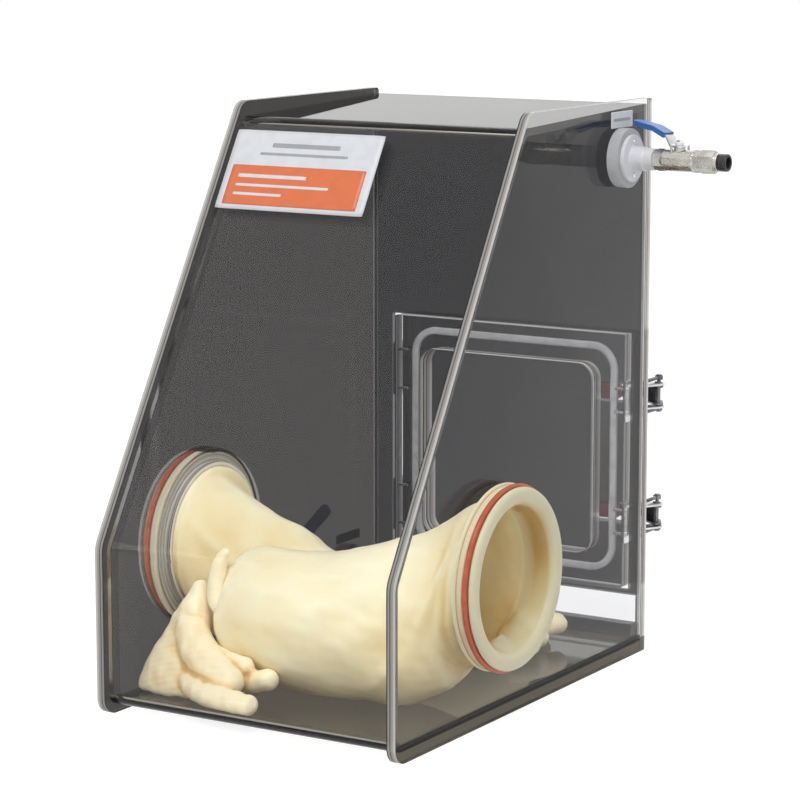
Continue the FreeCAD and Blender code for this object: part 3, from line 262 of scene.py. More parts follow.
def cuff_profile():
    """Middle of the cuff's wall as (reach, radius): the bead beside the panel, the band with the
    O-ring's groove, the rounded lip, and the way back into the bore."""
    band = RING_R + CUFF_GAP + CUFF_WALL / 2
    seat = band - 2.6
    end = RING_END + CUFF_GAP + CUFF_WALL / 2
    return softened([(1.1, band + 0.9, 0), (1.5, band + 2.4, 0.6), (3.8, band + 2.4, 1.0),
                     (4.6, band + 0.2, 0.8), (6.4, band + 0.2, 0.8), (7.0, band - 0.3, 0.5),
                     (7.6, band + 0.2, 0.5), (9.8, band, 0.8), (11.4, seat, 0.9), (17.6, seat, 0.9),
                     (19.2, band, 0.8), (end, band, 4.2), (end, CUFF_BORE, 8.2),
                     (CHAMBER - PANEL_FACE - 1.0, CUFF_BORE, 0)])


def mark_painted_shade(mesh, turned_over=None):
    """Keeps on each point a share of painted shade for the latex: the mean rise of its neighbours over
    its own level, evened out over them, so that hollows get more, and a share for faces that look
    down. turned_over marks the points whose visible side is the inner one."""
    count = len(mesh.vertices)
    points = read(mesh.vertices, "co", 3)
    normals = read(mesh.vertices, "normal", 3)
    one, two = read(mesh.edges, "vertices", 2, int).T
    step = points[two] - points[one]
    length = np.maximum(np.linalg.norm(step, axis=1), 1e-9) ** 2
    share = np.maximum(np.bincount(one, minlength=count) + np.bincount(two, minlength=count), 1)

    def gathered(to_one, to_two):
        return (np.bincount(one, to_one, count) + np.bincount(two, to_two, count)) / share

    bend = gathered((step * normals[one]).sum(axis=1) / length, -(step * normals[two]).sum(axis=1) / length)
    for _ in range(12):
        bend = 0.4 * bend + 0.6 * gathered(bend[two], bend[one])
    seen = 1.0 if turned_over is None else np.where(turned_over, -1.0, 1.0)
    # Painted shade: more in hollows and on faces that look down, less on tops and ridges.
    value = np.clip(0.40 - 0.26 * normals[:, 2] * seen + bend * seen * 0.012, 0, 1)
    painted_shade = mesh.attributes.new("painted_shade", "FLOAT", "POINT")
    painted_shade.data.foreach_set("value", value)


def glove_skin(name, side, stations, tucks, creases, seed):
    """Cuff and sleeve of one glove as one skin: the cuff's turned rings, then ovals through the
    stations, pushed across by tucks from the lip on and by creases and ripple in the chamber, and
    held above the floor."""
    columns = 160
    profile = cuff_profile()
    dense = np.vstack([np.linspace(a, b, 2, endpoint=False) for a, b in zip(profile[:-1], profile[1:])])
    rings = turned_rings(dense, columns, side)
    sleeve = oval_rings(stations, 150, columns)
    grid = np.concatenate([rings, sleeve])
    reach = side * grid[..., 0]
    inside = np.hypot(grid[..., 1] - PORT_Y, grid[..., 2] - PORT_Z) < BORE_R + 0.4
    past_lip = np.clip((PANEL_FACE + RING_END - 7.0 - reach) / 12.0, 0, 1) * inside
    in_chamber = np.clip((CHAMBER - reach) / 14.0, 0, 1)
    push = folds(grid, tucks) * past_lip + folds(grid, creases) * in_chamber
    push = push + (ripple(grid, seed, 46.0, 1.3) + ripple(grid, seed + 1, 17.0, 0.35)) * in_chamber
    grid = grid + outward(grid) * push[..., None]
    low = np.where(in_chamber > 0, FLOOR_TOP + 1.0, -1000.0)
    grid[..., 2] = np.maximum(grid[..., 2], low)
    rows = len(grid)
    points = np.vstack([grid.reshape(-1, 3), grid[-1].mean(axis=0)])
    faces = [*quads(rows, columns), *fan((rows - 1) * columns, columns, rows * columns)]
    if side < 0:
        faces = [face[::-1] for face in faces]
    piece = new_mesh(name, to_frame(points), faces)
    # Painted shade for the latex, kept on the points.
    mark_painted_shade(piece.data, side * points[:, 0] > CHAMBER)
    wall = piece.modifiers.new("wall", "SOLIDIFY")
    wall.thickness = CUFF_WALL * MM
    wall.offset = 0.0
    return piece


def limb(path, radii, count=26, columns=28):
    """Finger as rings about a smooth path: the radius follows the radii along the path and rounds
    to a point at both ends as a half circle does."""
    line = through(np.column_stack([path, radii]), count)
    spine = line[:, :3]
    radius = line[:, 3]
    step = np.linalg.norm(np.diff(spine, axis=0), axis=1)
    length = np.concatenate([[0], np.cumsum(step)])
    to_end = np.minimum(length, length[-1] - length)
    round_off = np.sqrt(np.clip(1 - (1 - np.clip(to_end / radius, 0, 1)) ** 2, 0.0004, 1))
    along = np.gradient(spine, axis=0)
    along = along / np.linalg.norm(along, axis=1, keepdims=True)
    one = np.cross(along, np.array([0.13, 0.31, 0.94]))
    one = one / np.linalg.norm(one, axis=1, keepdims=True)
    two = np.cross(along, one)
    angles = np.linspace(0, 2 * math.pi, columns, endpoint=False)
    reach = (radius * round_off)[:, None, None]
    ring = one[:, None, :] * np.cos(angles)[None, :, None] + two[:, None, :] * np.sin(angles)[None, :, None]
    return spine[:, None, :] + ring * reach


def level_rings(slices, count, columns):
    """Rings of ovals in level planes through slices (z, middle x, middle y, half x, half y)."""
    path = through(slices, count)
    angles = np.linspace(0, 2 * math.pi, columns, endpoint=False)
    x = path[:, 1:2] + path[:, 3:4] * np.cos(angles)
    y = path[:, 2:3] + path[:, 4:5] * np.sin(angles)
    z = np.repeat(path[:, 0:1], columns, axis=1)
    return np.stack([x, y, z], axis=-1)


def near_lines(points, lines):
    """Height of creases in space: each (start, end, width, height) falls off as a bell with the
    distance from its line."""
    total = np.zeros(len(points))
    for start, end, width, height in lines:
        start, end = np.array(start, float), np.array(end, float)
        way = end - start
        share = np.clip((points - start) @ way / (way @ way), 0, 1)
        away = np.linalg.norm(points - start - share[:, None] * way, axis=1)
        total += height * np.exp(-(away / width) ** 2)
    return total


def one_body(name, grids, voxel, seed, lines):
    """One smooth body from several closed tubes: the tubes are joined, remeshed together at voxel,
    smoothed, creased along lines, and kept above the floor."""
    parts = [tube_mesh(name + "_%d" % k, grid) for k, grid in enumerate(grids)]
    body = bmesh.new()
    for part in parts:
        body.from_mesh(part.data)
        bpy.data.objects.remove(part)
    bmesh.ops.recalc_face_normals(body, faces=body.faces)
    mesh = bpy.data.meshes.new(name)
    body.to_mesh(mesh)
    body.free()
    piece = bpy.data.objects.new(name, mesh)
    bpy.context.scene.collection.objects.link(piece)
    remesh = piece.modifiers.new("join", "REMESH")
    remesh.mode = "VOXEL"
    remesh.voxel_size = voxel * MM
    remesh.use_smooth_shade = True
    smooth = piece.modifiers.new("soften", "SMOOTH")
    smooth.factor = 0.6
    smooth.iterations = 5
    bpy.context.view_layer.update()
    held = piece.evaluated_get(bpy.context.evaluated_depsgraph_get())
    solid = bpy.data.meshes.new_from_object(held)
    piece.modifiers.clear()
    piece.data = solid
    points = read(solid.vertices, "co", 3) / MM
    normals = read(solid.vertices, "normal", 3)
    push = ripple(points, seed, 26.0, 0.9) + ripple(points, seed + 1, 8.0, 0.25) + near_lines(points, lines)
    points = points + normals * push[:, None]
    points[:, 2] = np.maximum(points[:, 2], FLOOR_TOP + 1.0)
    solid.vertices.foreach_set("co", (points * MM).ravel())
    solid.polygons.foreach_set("use_smooth", np.full(len(solid.polygons), True))
    solid.update()
    # Painted shade for the latex, kept on the points.
    mark_painted_shade(solid)
    return piece


def course(half, corner, height, count=16):
    """Rounded square of the door seal as points (x, z) about the door's middle."""
    turns = np.linspace(0, math.pi / 2, count)
    straight = half - corner
    points = []
    for k in range(4):
        a = k * math.pi / 2
        middle = straight * math.sqrt(2) * np.array([math.cos(a + math.pi / 4), math.sin(a + math.pi / 4)])
        points.append(middle + corner * np.column_stack([np.cos(a + turns), np.sin(a + turns)]))
    ring = np.vstack(points)
    return ring + np.array([0.0, height])


def new_finish(name, colour, roughness, **sockets):
    """A finish with one Principled shader, its constant values and Object coordinates."""
    material = bpy.data.materials.new(name)
    material.use_nodes = True
    nodes = material.node_tree.nodes
    shader = nodes["Principled BSDF"]
    shader.inputs["Base Color"].default_value = (*colour, 1)
    shader.inputs["Roughness"].default_value = roughness
    for socket, value in sockets.items():
        shader.inputs[socket.replace("_", " ")].default_value = value
    place = nodes.new("ShaderNodeTexCoord")
    return material, shader, place.outputs["Object"]


def link(owner, start, end):
    """Joins two sockets of a finish or of the world."""
    owner.node_tree.links.new(start, end)


def dimmed(colour, share):
    """A colour with each of its parts times share."""
    return tuple(share * part for part in colour)


def noise(material, place, scale, detail=3.0, stretch=(1.0, 1.0, 1.0)):
    """Noise over the given coordinates, stretched per axis."""
    nodes = material.node_tree.nodes
    mapping = nodes.new("ShaderNodeMapping")
    mapping.inputs["Scale"].default_value = stretch
    texture = nodes.new("ShaderNodeTexNoise")
    texture.inputs["Scale"].default_value = scale
    texture.inputs["Detail"].default_value = detail
    link(material, place, mapping.inputs["Vector"])
    link(material, mapping.outputs["Vector"], texture.inputs["Vector"])
    return texture.outputs["Fac"]


def tones(material, factor, stops):
    """Colours along a factor, as (place, colour) stops."""
    ramp = material.node_tree.nodes.new("ShaderNodeValToRGB")
    elements = ramp.color_ramp.elements
    elements[0].position, elements[1].position = stops[0][0], stops[-1][0]
    elements[0].color = (*stops[0][1], 1)
    elements[1].color = (*stops[-1][1], 1)
    for place, colour in stops[1:-1]:
        elements.new(place).color = (*colour, 1)
    link(material, factor, ramp.inputs["Fac"])
    return ramp.outputs["Color"]


def spread(material, factor, low, high, start=0.0, end=1.0):
    """Value between low and high as the factor goes from start to end."""
    node = material.node_tree.nodes.new("ShaderNodeMapRange")
    node.inputs["From Min"].default_value = start
    node.inputs["From Max"].default_value = end
    node.inputs["To Min"].default_value = low
    node.inputs["To Max"].default_value = high
    link(material, factor, node.inputs["Value"])
    return node.outputs["Result"]


def emboss(material, shader, height, strength, distance, below=None):
    """Bump of a height field on the shader, over an earlier bump."""
    node = material.node_tree.nodes.new("ShaderNodeBump")
    node.inputs["Strength"].default_value = strength
    node.inputs["Distance"].default_value = distance
    link(material, height, node.inputs["Height"])
    if below is not None:
        link(material, below, node.inputs["Normal"])
    link(material, node.outputs["Normal"], shader.inputs["Normal"])
    return node.outputs["Normal"]


def maths(material, operation, one, two=None):
    """Arithmetic node on sockets or numbers."""
    node = material.node_tree.nodes.new("ShaderNodeMath")
    node.operation = operation
    for k, value in enumerate((one, two)):
        if value is None:
            continue
        if isinstance(value, (int, float)):
            node.inputs[k].default_value = value
        else:
            link(material, value, node.inputs[k])
    return node.outputs[0]


def axes(material, vector):
    """The three parts of a vector."""
    node = material.node_tree.nodes.new("ShaderNodeSeparateXYZ")
    link(material, vector, node.inputs[0])
    return node.outputs


def blended(material, share, one, two):
    """Mix of two colours: one where share is 0, two where it is 1."""
    mix = material.node_tree.nodes.new("ShaderNodeMix")
    mix.data_type = "RGBA"
    link(material, share, mix.inputs["Factor"])
    link(material, one, mix.inputs[6])
    link(material, two, mix.inputs[7])
    return mix.outputs[2]


def port_distance(material, place, forward=0.0, up=0.0, lift=0.0):
    """Distance from the axis of the arm ports, in metres, or from the line that starts at lift
    over it and goes forward and up: the share along that line is held between 0 and 1."""
    parts = axes(material, place)
    y = maths(material, "SUBTRACT", parts[1], PORT_Y * MM + FRONT)
    z = maths(material, "SUBTRACT", parts[2], (PORT_Z + lift) * MM)
    if forward:
        share = maths(material, "DIVIDE", y, -forward * MM)
        share = maths(material, "MINIMUM", maths(material, "MAXIMUM", share, 0.0), 1.0)
        y = maths(material, "ADD", y, maths(material, "MULTIPLY", share, forward * MM))
        z = maths(material, "SUBTRACT", z, maths(material, "MULTIPLY", share, up * MM))
    square = maths(material, "ADD", maths(material, "MULTIPLY", y, y), maths(material, "MULTIPLY", z, z))
    return maths(material, "SQRT", square)


def inside_range(material, value, low, high):
    """1 where the value, in metres, lies between low and high in millimetres, else 0."""
    above = maths(material, "GREATER_THAN", value, low * MM)
    below = maths(material, "LESS_THAN", value, high * MM)
    return maths(material, "MULTIPLY", above, below)


def door_window(material, place):
    """1 where the sheet lies in front of the door and in the low strip below it, 0 elsewhere, where it
    takes a dark tint of painted shade.
    """
    parts = axes(material, place)
    across = inside_range(material, parts[0], *DOOR_SPAN)
    door = maths(material, "MULTIPLY", across, inside_range(material, parts[2], *DOOR_RISE))
    strip = inside_range(material, parts[0], *STRIP_SPAN)
    strip = maths(material, "MULTIPLY", strip, inside_range(material, parts[2], *STRIP_RISE))
    return maths(material, "MAXIMUM", door, strip)


def port_window(material, place):
    """1 where the left panel lies beside the cuff on its ring, 0 elsewhere, where it takes a dark tint of
    painted shade.
    """
    away = port_distance(material, place, forward=38.0, up=8.0, lift=3.5)
    return spread(material, away, 1.0, 0.0, (RING_R - 4.0) * MM, (RING_R - 2.5) * MM)


def grip_windows(material, place):
    """1 where the door lies before the latches' grips, 0 elsewhere, where it takes a dark tint of painted
    shade.
    """
    parts = axes(material, place)
    door_middle = (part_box("door_panel")[0][1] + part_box("door_panel")[1][1]) / 2 / MM
    share = None
    for name in ("upper_latch_grip", "lower_latch_grip"):
        low, high = (np.array(corner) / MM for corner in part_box(name))
        away = (low[1] + high[1]) / 2 - door_middle
        shift = SIGHT_ACROSS * away
        across = inside_range(material, parts[0], low[0] + shift + 3.0, high[0] + shift)
        shift = SIGHT_RISE * away
        rise = inside_range(material, parts[2], low[2] + shift, high[2] + shift)
        one = maths(material, "MULTIPLY", across, rise)
        share = one if share is None else maths(material, "MAXIMUM", share, one)
    return share


def above_foot(material, place):
    """1 above a line just under the top of the box's floor, 0 below it, where the panel's foot takes a dark
    tint of painted shade.
    """
    return inside_range(material, axes(material, place)[2], FLOOR_TOP - 1.0, OVER_ALL)


def lit_runs(material, place):
    """1 on the sheet's front and slope, 0 on its floor and top runs, which take a dark tint of painted
    shade.
    """
    return inside_range(material, axes(material, place)[2], FLOOR_TOP + 1.0, SHEET_TOP)


def show_mix(material, share, one, two):
    """Shows one shader where share is 0 and two where it is 1."""
    nodes = material.node_tree.nodes
    mix = nodes.new("ShaderNodeMixShader")
    link(material, share, mix.inputs["Fac"])
    link(material, one, mix.inputs[1])
    link(material, two, mix.inputs[2])
    link(material, mix.outputs["Shader"], nodes["Material Output"].inputs["Surface"])


def let_light_in(material, shader, tint):
    """Lets lamps shine through a clear piece: shadow rays meet a tinted Transparent shader."""
    nodes = material.node_tree.nodes
    clear = nodes.new("ShaderNodeBsdfTransparent")
    clear.inputs["Color"].default_value = (*tint, 1)
    path = nodes.new("ShaderNodeLightPath")
    show_mix(material, path.outputs["Is Shadow Ray"], shader.outputs["BSDF"], clear.outputs["BSDF"])


def painted_edge_lines(material, place, edge, edge_axis, wall_low, wall_high):
    """Painted highlight and painted shade as light and dark lines along a sawn edge, between the two faces
    of its sheet, stirred a little by saw marks.
    """
    wall = maths(material, "ABSOLUTE", axes(material, place)[edge_axis])
    saw = noise(material, place, 160.0, 2.0, (1.0, 1.0, 0.3))
    depth = spread(material, wall, 0.0, 1.0, wall_low * MM, wall_high * MM)
    depth = maths(material, "ADD", depth, maths(material, "MULTIPLY", saw, 0.06))
    # The darkest stops are painted shade and the palest ones a painted highlight, about the edge's own
    # colour.
    stops = [(0.0, (0.05, 0.05, 0.05)), (0.13, (0.06, 0.06, 0.06)), (0.17, dimmed(edge, 0.8)),
             (0.34, edge), (0.40, (0.16, 0.15, 0.15)), (0.46, (0.2, 0.19, 0.19)),
             (0.52, dimmed(edge, 0.85)), (0.74, edge), (0.80, (0.93, 0.89, 0.84)),
             (1.0, (0.96, 0.93, 0.88))]
    return tones(material, depth, stops)


def clear_acrylic(name, tint, edge, edge_axis, wall_low=0.0, wall_high=10.0, window=None, painted_shade_tint=None,
                  refraction=1.17):
    """Cast acrylic. Its polished faces let tint through, or a dark tint of painted shade outside the
    window. Where cut across edge_axis the frosted edge has lines of painted highlight and painted shade
    from wall_low to wall_high, in millimetres from the part's middle. Without edge_axis its ends across X
    are painted dark as shade."""
    material, shader, place = new_finish(name, tint, 0.02, IOR=refraction, Transmission_Weight=1.0)
    wipe = noise(material, place, 9.0, 4.0, (1.0, 1.0, 0.35))
    gloss = spread(material, wipe, 0.0, 0.03, 0.45, 0.75)
    dust = noise(material, place, 3.0, 2.0)
    colour = tones(material, dust, [(0.35, dimmed(tint, 0.95)), (0.65, tint)])
    if window is not None:
        # Painted shade: outside the window the sheet takes a dark tint.
        dull = tones(material, dust, [(0.35, dimmed(painted_shade_tint, 0.95)), (0.65, painted_shade_tint)])
        colour = blended(material, window(material, place), dull, colour)
    facing = material.node_tree.nodes.new("ShaderNodeTexCoord").outputs["Normal"]
    across = maths(material, "ABSOLUTE", axes(material, facing)[edge_axis or 0])
    if edge_axis is None:
        cut = maths(material, "GREATER_THAN", across, FLAT_ON)
        # Painted shade: the ends across X are dark, varied a little by dust.
        sawn = tones(material, dust, [(0.3, (0.05, 0.048, 0.045)), (0.7, (0.12, 0.11, 0.10))])
        passes = 0.2
    else:
        cut = maths(material, "LESS_THAN", across, FLAT_ON)
        # The cut edge's light and dark lines are painted highlight and painted shade.
        sawn = painted_edge_lines(material, place, edge, edge_axis, wall_low, wall_high)
        passes = 0.3
        gloss = maths(material, "ADD", gloss, maths(material, "MULTIPLY", cut, 0.2))
    link(material, spread(material, cut, 1.0, passes), shader.inputs["Transmission Weight"])
    link(material, gloss, shader.inputs["Roughness"])
    link(material, blended(material, cut, colour, sawn), shader.inputs["Base Color"])
    let_light_in(material, shader, (0.93, 0.93, 0.93))
    return material


def turned_acrylic(name, cloudy, through_share):
    """Acrylic turned on a lathe: fine rings about the port's axis over a cloudy material."""
    material, shader, place = new_finish(name, cloudy, 0.06, IOR=1.3, Transmission_Weight=through_share)
    radius = port_distance(material, place)
    rings = maths(material, "SINE", maths(material, "MULTIPLY", radius, 4200.0))
    wide = maths(material, "SINE", maths(material, "MULTIPLY", radius, 1150.0))
    cut = emboss(material, shader, wide, 0.5, 0.0008)
    emboss(material, shader, rings, 0.3, 0.0002, cut)
    haze = noise(material, place, 60.0, 3.0)
    link(material, spread(material, haze, 0.05, 0.2), shader.inputs["Roughness"])
    shade = tones(material, wide, [(0.0, dimmed(cloudy, 0.78)), (0.8, cloudy)])
    link(material, shade, shader.inputs["Base Color"])
    let_light_in(material, shader, (0.9, 0.9, 0.88))
    return material


def latex(name, stops, roughness):
    """Cream latex: blotches of thicker and thinner dip, fine pores and soft creases, with painted shade
    that darkens it in hollows and on faces that look down and leaves tops and ridges lighter.
    """
    material, shader, place = new_finish(name, stops[1][1], roughness, Subsurface_Weight=0.5,
                                         Subsurface_Radius=(0.008, 0.006, 0.004),
                                         Subsurface_Scale=0.5, Specular_IOR_Level=0.42)
    dip = noise(material, place, 14.0, 5.0)
    form = material.node_tree.nodes.new("ShaderNodeAttribute")
    form.attribute_name = "painted_shade"
    # Painted shade: the kept share pulls the colour down the ramp towards its darkest stop.
    painted_shade_drop = maths(material, "MULTIPLY", form.outputs["Fac"], -0.62)
    thin = maths(material, "ADD", maths(material, "MULTIPLY", dip, 0.5), 0.52)
    link(material, tones(material, maths(material, "ADD", thin, painted_shade_drop), stops), shader.inputs["Base Color"])
    powder = noise(material, place, 130.0, 4.0)
    link(material, spread(material, powder, roughness - 0.08, roughness + 0.14, 0.3, 0.7),
         shader.inputs["Roughness"])
    crease = noise(material, place, 38.0, 6.0, (0.6, 1.0, 1.3))
    soft = emboss(material, shader, crease, 0.28, 0.002)
    pores = noise(material, place, 1500.0, 2.0)
    emboss(material, shader, pores, 0.1, 0.0002, soft)
    return material


def rubber(name, colour, roughness, scale=420.0):
    """Moulded rubber or dipped vinyl: slight mottling, fine grain and a dull gloss."""
    material, shader, place = new_finish(name, colour, roughness, Specular_IOR_Level=0.45)
    mottle = noise(material, place, 90.0, 4.0)
    dark = dimmed(colour, 0.82)
    pale = tuple(min(1.0, 1.08 * part + 0.01) for part in colour)
    link(material, tones(material, mottle, [(0.3, dark), (0.55, colour), (0.75, pale)]),
         shader.inputs["Base Color"])
    grain = noise(material, place, scale, 3.0)
    link(material, spread(material, grain, roughness - 0.1, roughness + 0.12), shader.inputs["Roughness"])
    emboss(material, shader, grain, 0.18, 0.0004)
    return material


def plated(name, dark, pale, roughness, stretch=(1.0, 1.0, 1.0), cast=0.12):
    """Plated metal: cloudy plating, fine drawn or cast grain, and small pits."""
    material, shader, place = new_finish(name, pale, roughness, Metallic=1.0)
    cloud = noise(material, place, 55.0, 5.0)
    link(material, tones(material, cloud, [(0.3, dark), (0.68, pale)]), shader.inputs["Base Color"])
    grain = noise(material, place, 700.0, 3.0, stretch)
    link(material, spread(material, grain, roughness - 0.08, roughness + 0.12, 0.3, 0.7),
         shader.inputs["Roughness"])
    body = emboss(material, shader, grain, cast, 0.0003)
    pits = noise(material, place, 2600.0, 2.0)
    emboss(material, shader, pits, cast * 0.6, 0.0001, body)
    return material


def moulded(name, colour, roughness):
    """Moulded plastic: even colour with faint flow marks and a satin skin."""
    material, shader, place = new_finish(name, colour, roughness, Subsurface_Weight=0.05,
                                         Subsurface_Radius=(0.002, 0.002, 0.002))
    flow = noise(material, place, 45.0, 3.0, (1.0, 0.5, 1.0))
    dark = dimmed(colour, 0.9)
    link(material, tones(material, flow, [(0.3, dark), (0.7, colour)]), shader.inputs["Base Color"])
    skin = noise(material, place, 900.0, 2.0)
    link(material, spread(material, skin, roughness - 0.06, roughness + 0.1), shader.inputs["Roughness"])
    emboss(material, shader, skin, 0.08, 0.0002)
    return material


def printed(name, colour):
    """Printed film: flat ink with the faint tooth and dust of handled card."""
    material, shader, place = new_finish(name, colour, 0.42, Coat_Weight=0.25, Coat_Roughness=0.18)
    dust = noise(material, place, 70.0, 6.0)
    dark = dimmed(colour, 0.93)
    link(material, tones(material, dust, [(0.3, dark), (0.6, colour)]), shader.inputs["Base Color"])
    tooth = noise(material, place, 1800.0, 2.0)
    link(material, spread(material, tooth, 0.34, 0.5), shader.inputs["Roughness"])
    emboss(material, shader, tooth, 0.06, 0.0001)
    return material


def wear(material, *names):
    """Gives CAD nodes one finish."""
    for name in names:
        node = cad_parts[name]
        node.data.materials.clear()
        node.data.materials.append(material)


def weld_points(node):
    """Welds the loose triangles of a CAD node, once."""
    if "weld" not in node.modifiers:
        weld = node.modifiers.new("weld", "WELD")
        weld.merge_threshold = WELD_REACH * MM


def part_faces(*names):
    """Draws the faces of CAD nodes in by a hair, so that clear pieces that touch don't share them."""
    for name in names:
        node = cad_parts[name]
        weld_points(node)
        draw_in = node.modifiers.new("hair", "DISPLACE")
        draw_in.mid_level = 0.0
        draw_in.strength = -FACE_GAP * MM


def ease_edges(width, *names):
    """Rounds the edges of CAD nodes: loose triangles are welded and sharp edges bevelled."""
    for name in names:
        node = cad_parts[name]
        weld_points(node)
        bevel = node.modifiers.new("bevel", "BEVEL")
        bevel.width = width * MM
        bevel.segments = 2
        bevel.limit_method = "ANGLE"
        bevel.angle_limit = 0.5
        bevel.harden_normals = False


def both(*names):
    """The left and the right node of each name."""
    return [side + name for name in names for side in ("left_", "right_")]


def levels(*names):
    """The upper and the lower node of each name."""
    return [level + name for name in names for level in ("upper_", "lower_")]


def colour_setting(label, description, default):
    """Colour in the sidebar."""
    return bpy.props.FloatVectorProperty(name=label, description=description, default=default,
                                         size=3, subtype="COLOR", min=0, max=1)


class GloveBoxAcrylic(bpy.types.PropertyGroup):
    """Colours of the clear sheets, of the dark tints of painted shade that they take outside their clear
    windows, and of their cut edges.
    """
    front: colour_setting("Clear", "What the clear faces let through", (0.92, 0.92, 0.93))
    # left, back and ground are dark tints of painted shade, not the sheets' own colour.
    left: colour_setting("Left", "What the left panel lets through, but beside its cuff",
                         (0.06, 0.057, 0.055))
    back: colour_setting("Back and door", "What the back panel and the door let through outside "
                         "their clear windows", (0.028, 0.028, 0.03))
    ground: colour_setting("Floor and top", "What the sheet's floor and top and the right panel's "
                           "foot let through", (0.10, 0.088, 0.065))
    # Lines of painted highlight and painted shade are laid around this edge colour.
    edge: colour_setting("Cut edge", "Colour of the sawn edges", (0.62, 0.60, 0.57))


class GloveBoxGloves(bpy.types.PropertyGroup):
    """Colours of the latex, with its painted shade and painted highlight, and fineness of the hands."""
    # shade is painted shade in hollows and on faces that look down; pale is partly a painted highlight on
    # tops and ridges and partly the dip's light blotches.
    shade: colour_setting("Hollows", "Colour in the latex's hollows", (0.76, 0.50, 0.19))
    cream: colour_setting("Latex", "Main colour of the latex", (0.92, 0.73, 0.41))
    pale: colour_setting("Ridges", "Colour on the latex's ridges", (0.96, 0.84, 0.58))
    voxel: bpy.props.FloatProperty(name="Hand detail", default=0.0017, min=0.001, max=0.006, unit="LENGTH",
                                   description="Size of the cells that the hands are joined with")


class GloveBoxStage(bpy.types.PropertyGroup):
    """Studio and camera."""
    azimuth: bpy.props.FloatProperty(name="Azimuth", default=math.radians(31.41), unit="ROTATION",
                                     description="Turn of the camera from the front towards the right")
    elevation: bpy.props.FloatProperty(name="Elevation", default=math.radians(9.65), unit="ROTATION",
                                       description="Height angle of the camera")
    lens: bpy.props.FloatProperty(name="Lens", default=131.2, min=20, max=300,
                                  description="Focal length in millimetres on a 36 mm sensor")
    key: bpy.props.FloatProperty(name="Key lamp", default=31.0, min=0, max=500, unit="POWER",
                                 description="Power of the main lamp")


class GLOVEBOX_OT_acrylic(bpy.types.Operator):
    """Dress the panels, the sheet, the rings, the door and the hinges in acrylic"""
    bl_idname = "glovebox.acrylic"
    bl_label = "Acrylic"

    def execute(self, context):
        values = context.scene.glovebox_acrylic
        front, left, back, ground, edge = (tuple(colour) for colour in (
            values.front, values.left, values.back, values.ground, values.edge))
        side = (CHAMBER, PANEL_FACE)
        layer = {name: [corner[1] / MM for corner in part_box(name)]
                 for name in ("back_panel", "door_frame", "door_panel")}
        # Outside their window masks the right panel's foot, the left panel, the sheet's floor and top, the
        # back panel and the door take dark tints of painted shade.
        wear(clear_acrylic("acrylic_side", front, edge, 0, *side, above_foot, ground), "right_side_panel")
        wear(clear_acrylic("acrylic_left", front, edge, 0, *side, port_window, left), "left_side_panel")
        wear(clear_acrylic("acrylic_sheet", front, edge, None, window=lit_runs, painted_shade_tint=ground,
                           refraction=1.28), "wrap_sheet")
        wear(clear_acrylic("acrylic_batten", front, edge, None), "top_batten", "bottom_batten")
        wear(clear_acrylic("acrylic_back", front, edge, 1, *layer["back_panel"], door_window, back),
             "back_panel")
        wear(clear_acrylic("acrylic_frame", front, edge, 1, *layer["door_frame"]), "door_frame")
        wear(clear_acrylic("acrylic_door", front, edge, 1, *layer["door_panel"], grip_windows, back),
             "door_panel")
        wear(turned_acrylic("acrylic_turned", (0.90, 0.85, 0.70), 0.12), *both("port_ring"))
        hinge = new_finish("acrylic_hinge", (0.80, 0.81, 0.83), 0.12, IOR=1.3,
                           Transmission_Weight=0.45)[0]
        wear(hinge, *levels("hinge_frame_leaf", "hinge_door_leaf"), *both("clear_flange"))
        plates = [*both("side_panel"), "back_panel", "door_frame", "door_panel"]
        battens = ["top_batten", "bottom_batten"]
        part_faces("wrap_sheet", *plates, *battens, *both("port_ring"))
        ease_edges(0.7, *plates)
        ease_edges(0.5, *both("clear_flange"), *battens)
        return {"FINISHED"}


class GLOVEBOX_OT_metal(bpy.types.Operator):
    """Dress the latches, the screws and the valves in plated metal, plastic and vinyl"""
    bl_idname = "glovebox.metal"
    bl_label = "Latches and valves"

    def execute(self, context):
        nickel = plated("nickel", (0.36, 0.34, 0.31), (0.62, 0.60, 0.56), 0.28, cast=0.25)
        steel = plated("steel", (0.55, 0.55, 0.56), (0.80, 0.80, 0.81), 0.24, (1.0, 1.0, 0.08))
        dark = plated("dark_steel", (0.10, 0.10, 0.11), (0.27, 0.27, 0.29), 0.34, (1.0, 1.0, 0.1))
        white = moulded("white_plastic", (0.86, 0.87, 0.91), 0.3)
        black = moulded("black_plastic", (0.03, 0.03, 0.034), 0.4)
        blue = rubber("blue_grip", (0.035, 0.17, 0.52), 0.32)
        red = rubber("red_grip", (0.50, 0.035, 0.055), 0.34)
        wear(nickel, "valve_nipples", *both("valve_body", "tube_fitting"))
        wear(steel, "hinge_pins", "hinge_frame_screws", "hinge_door_screws", "keeper_screws",
             "latch_base_screws", "flange_screws", *levels("keeper", "latch_base"),
             *both("valve_ball", "valve_stem", "lever_nut", "valve_lever"))
        wear(dark, "latch_pivot_rivets", *levels("latch_lever", "latch_loop", "link_pin"))
        wear(white, *both("white_adaptor"))
        wear(black, *both("release_collar"))
        wear(blue, *both("lever_sleeve"))
        wear(red, *levels("latch_grip"))
        ease_edges(0.35, *levels("latch_lever", "keeper", "latch_base"), *both("valve_lever"))
        ease_edges(0.5, "valve_nipples", *both("valve_body", "tube_fitting", "white_adaptor", "lever_nut"))
        return {"FINISHED"}


def boxed(value):
    """A sine or cosine pressed outwards, which makes a rounded square of a circle."""
    return np.sign(value) * abs(value) ** 0.7


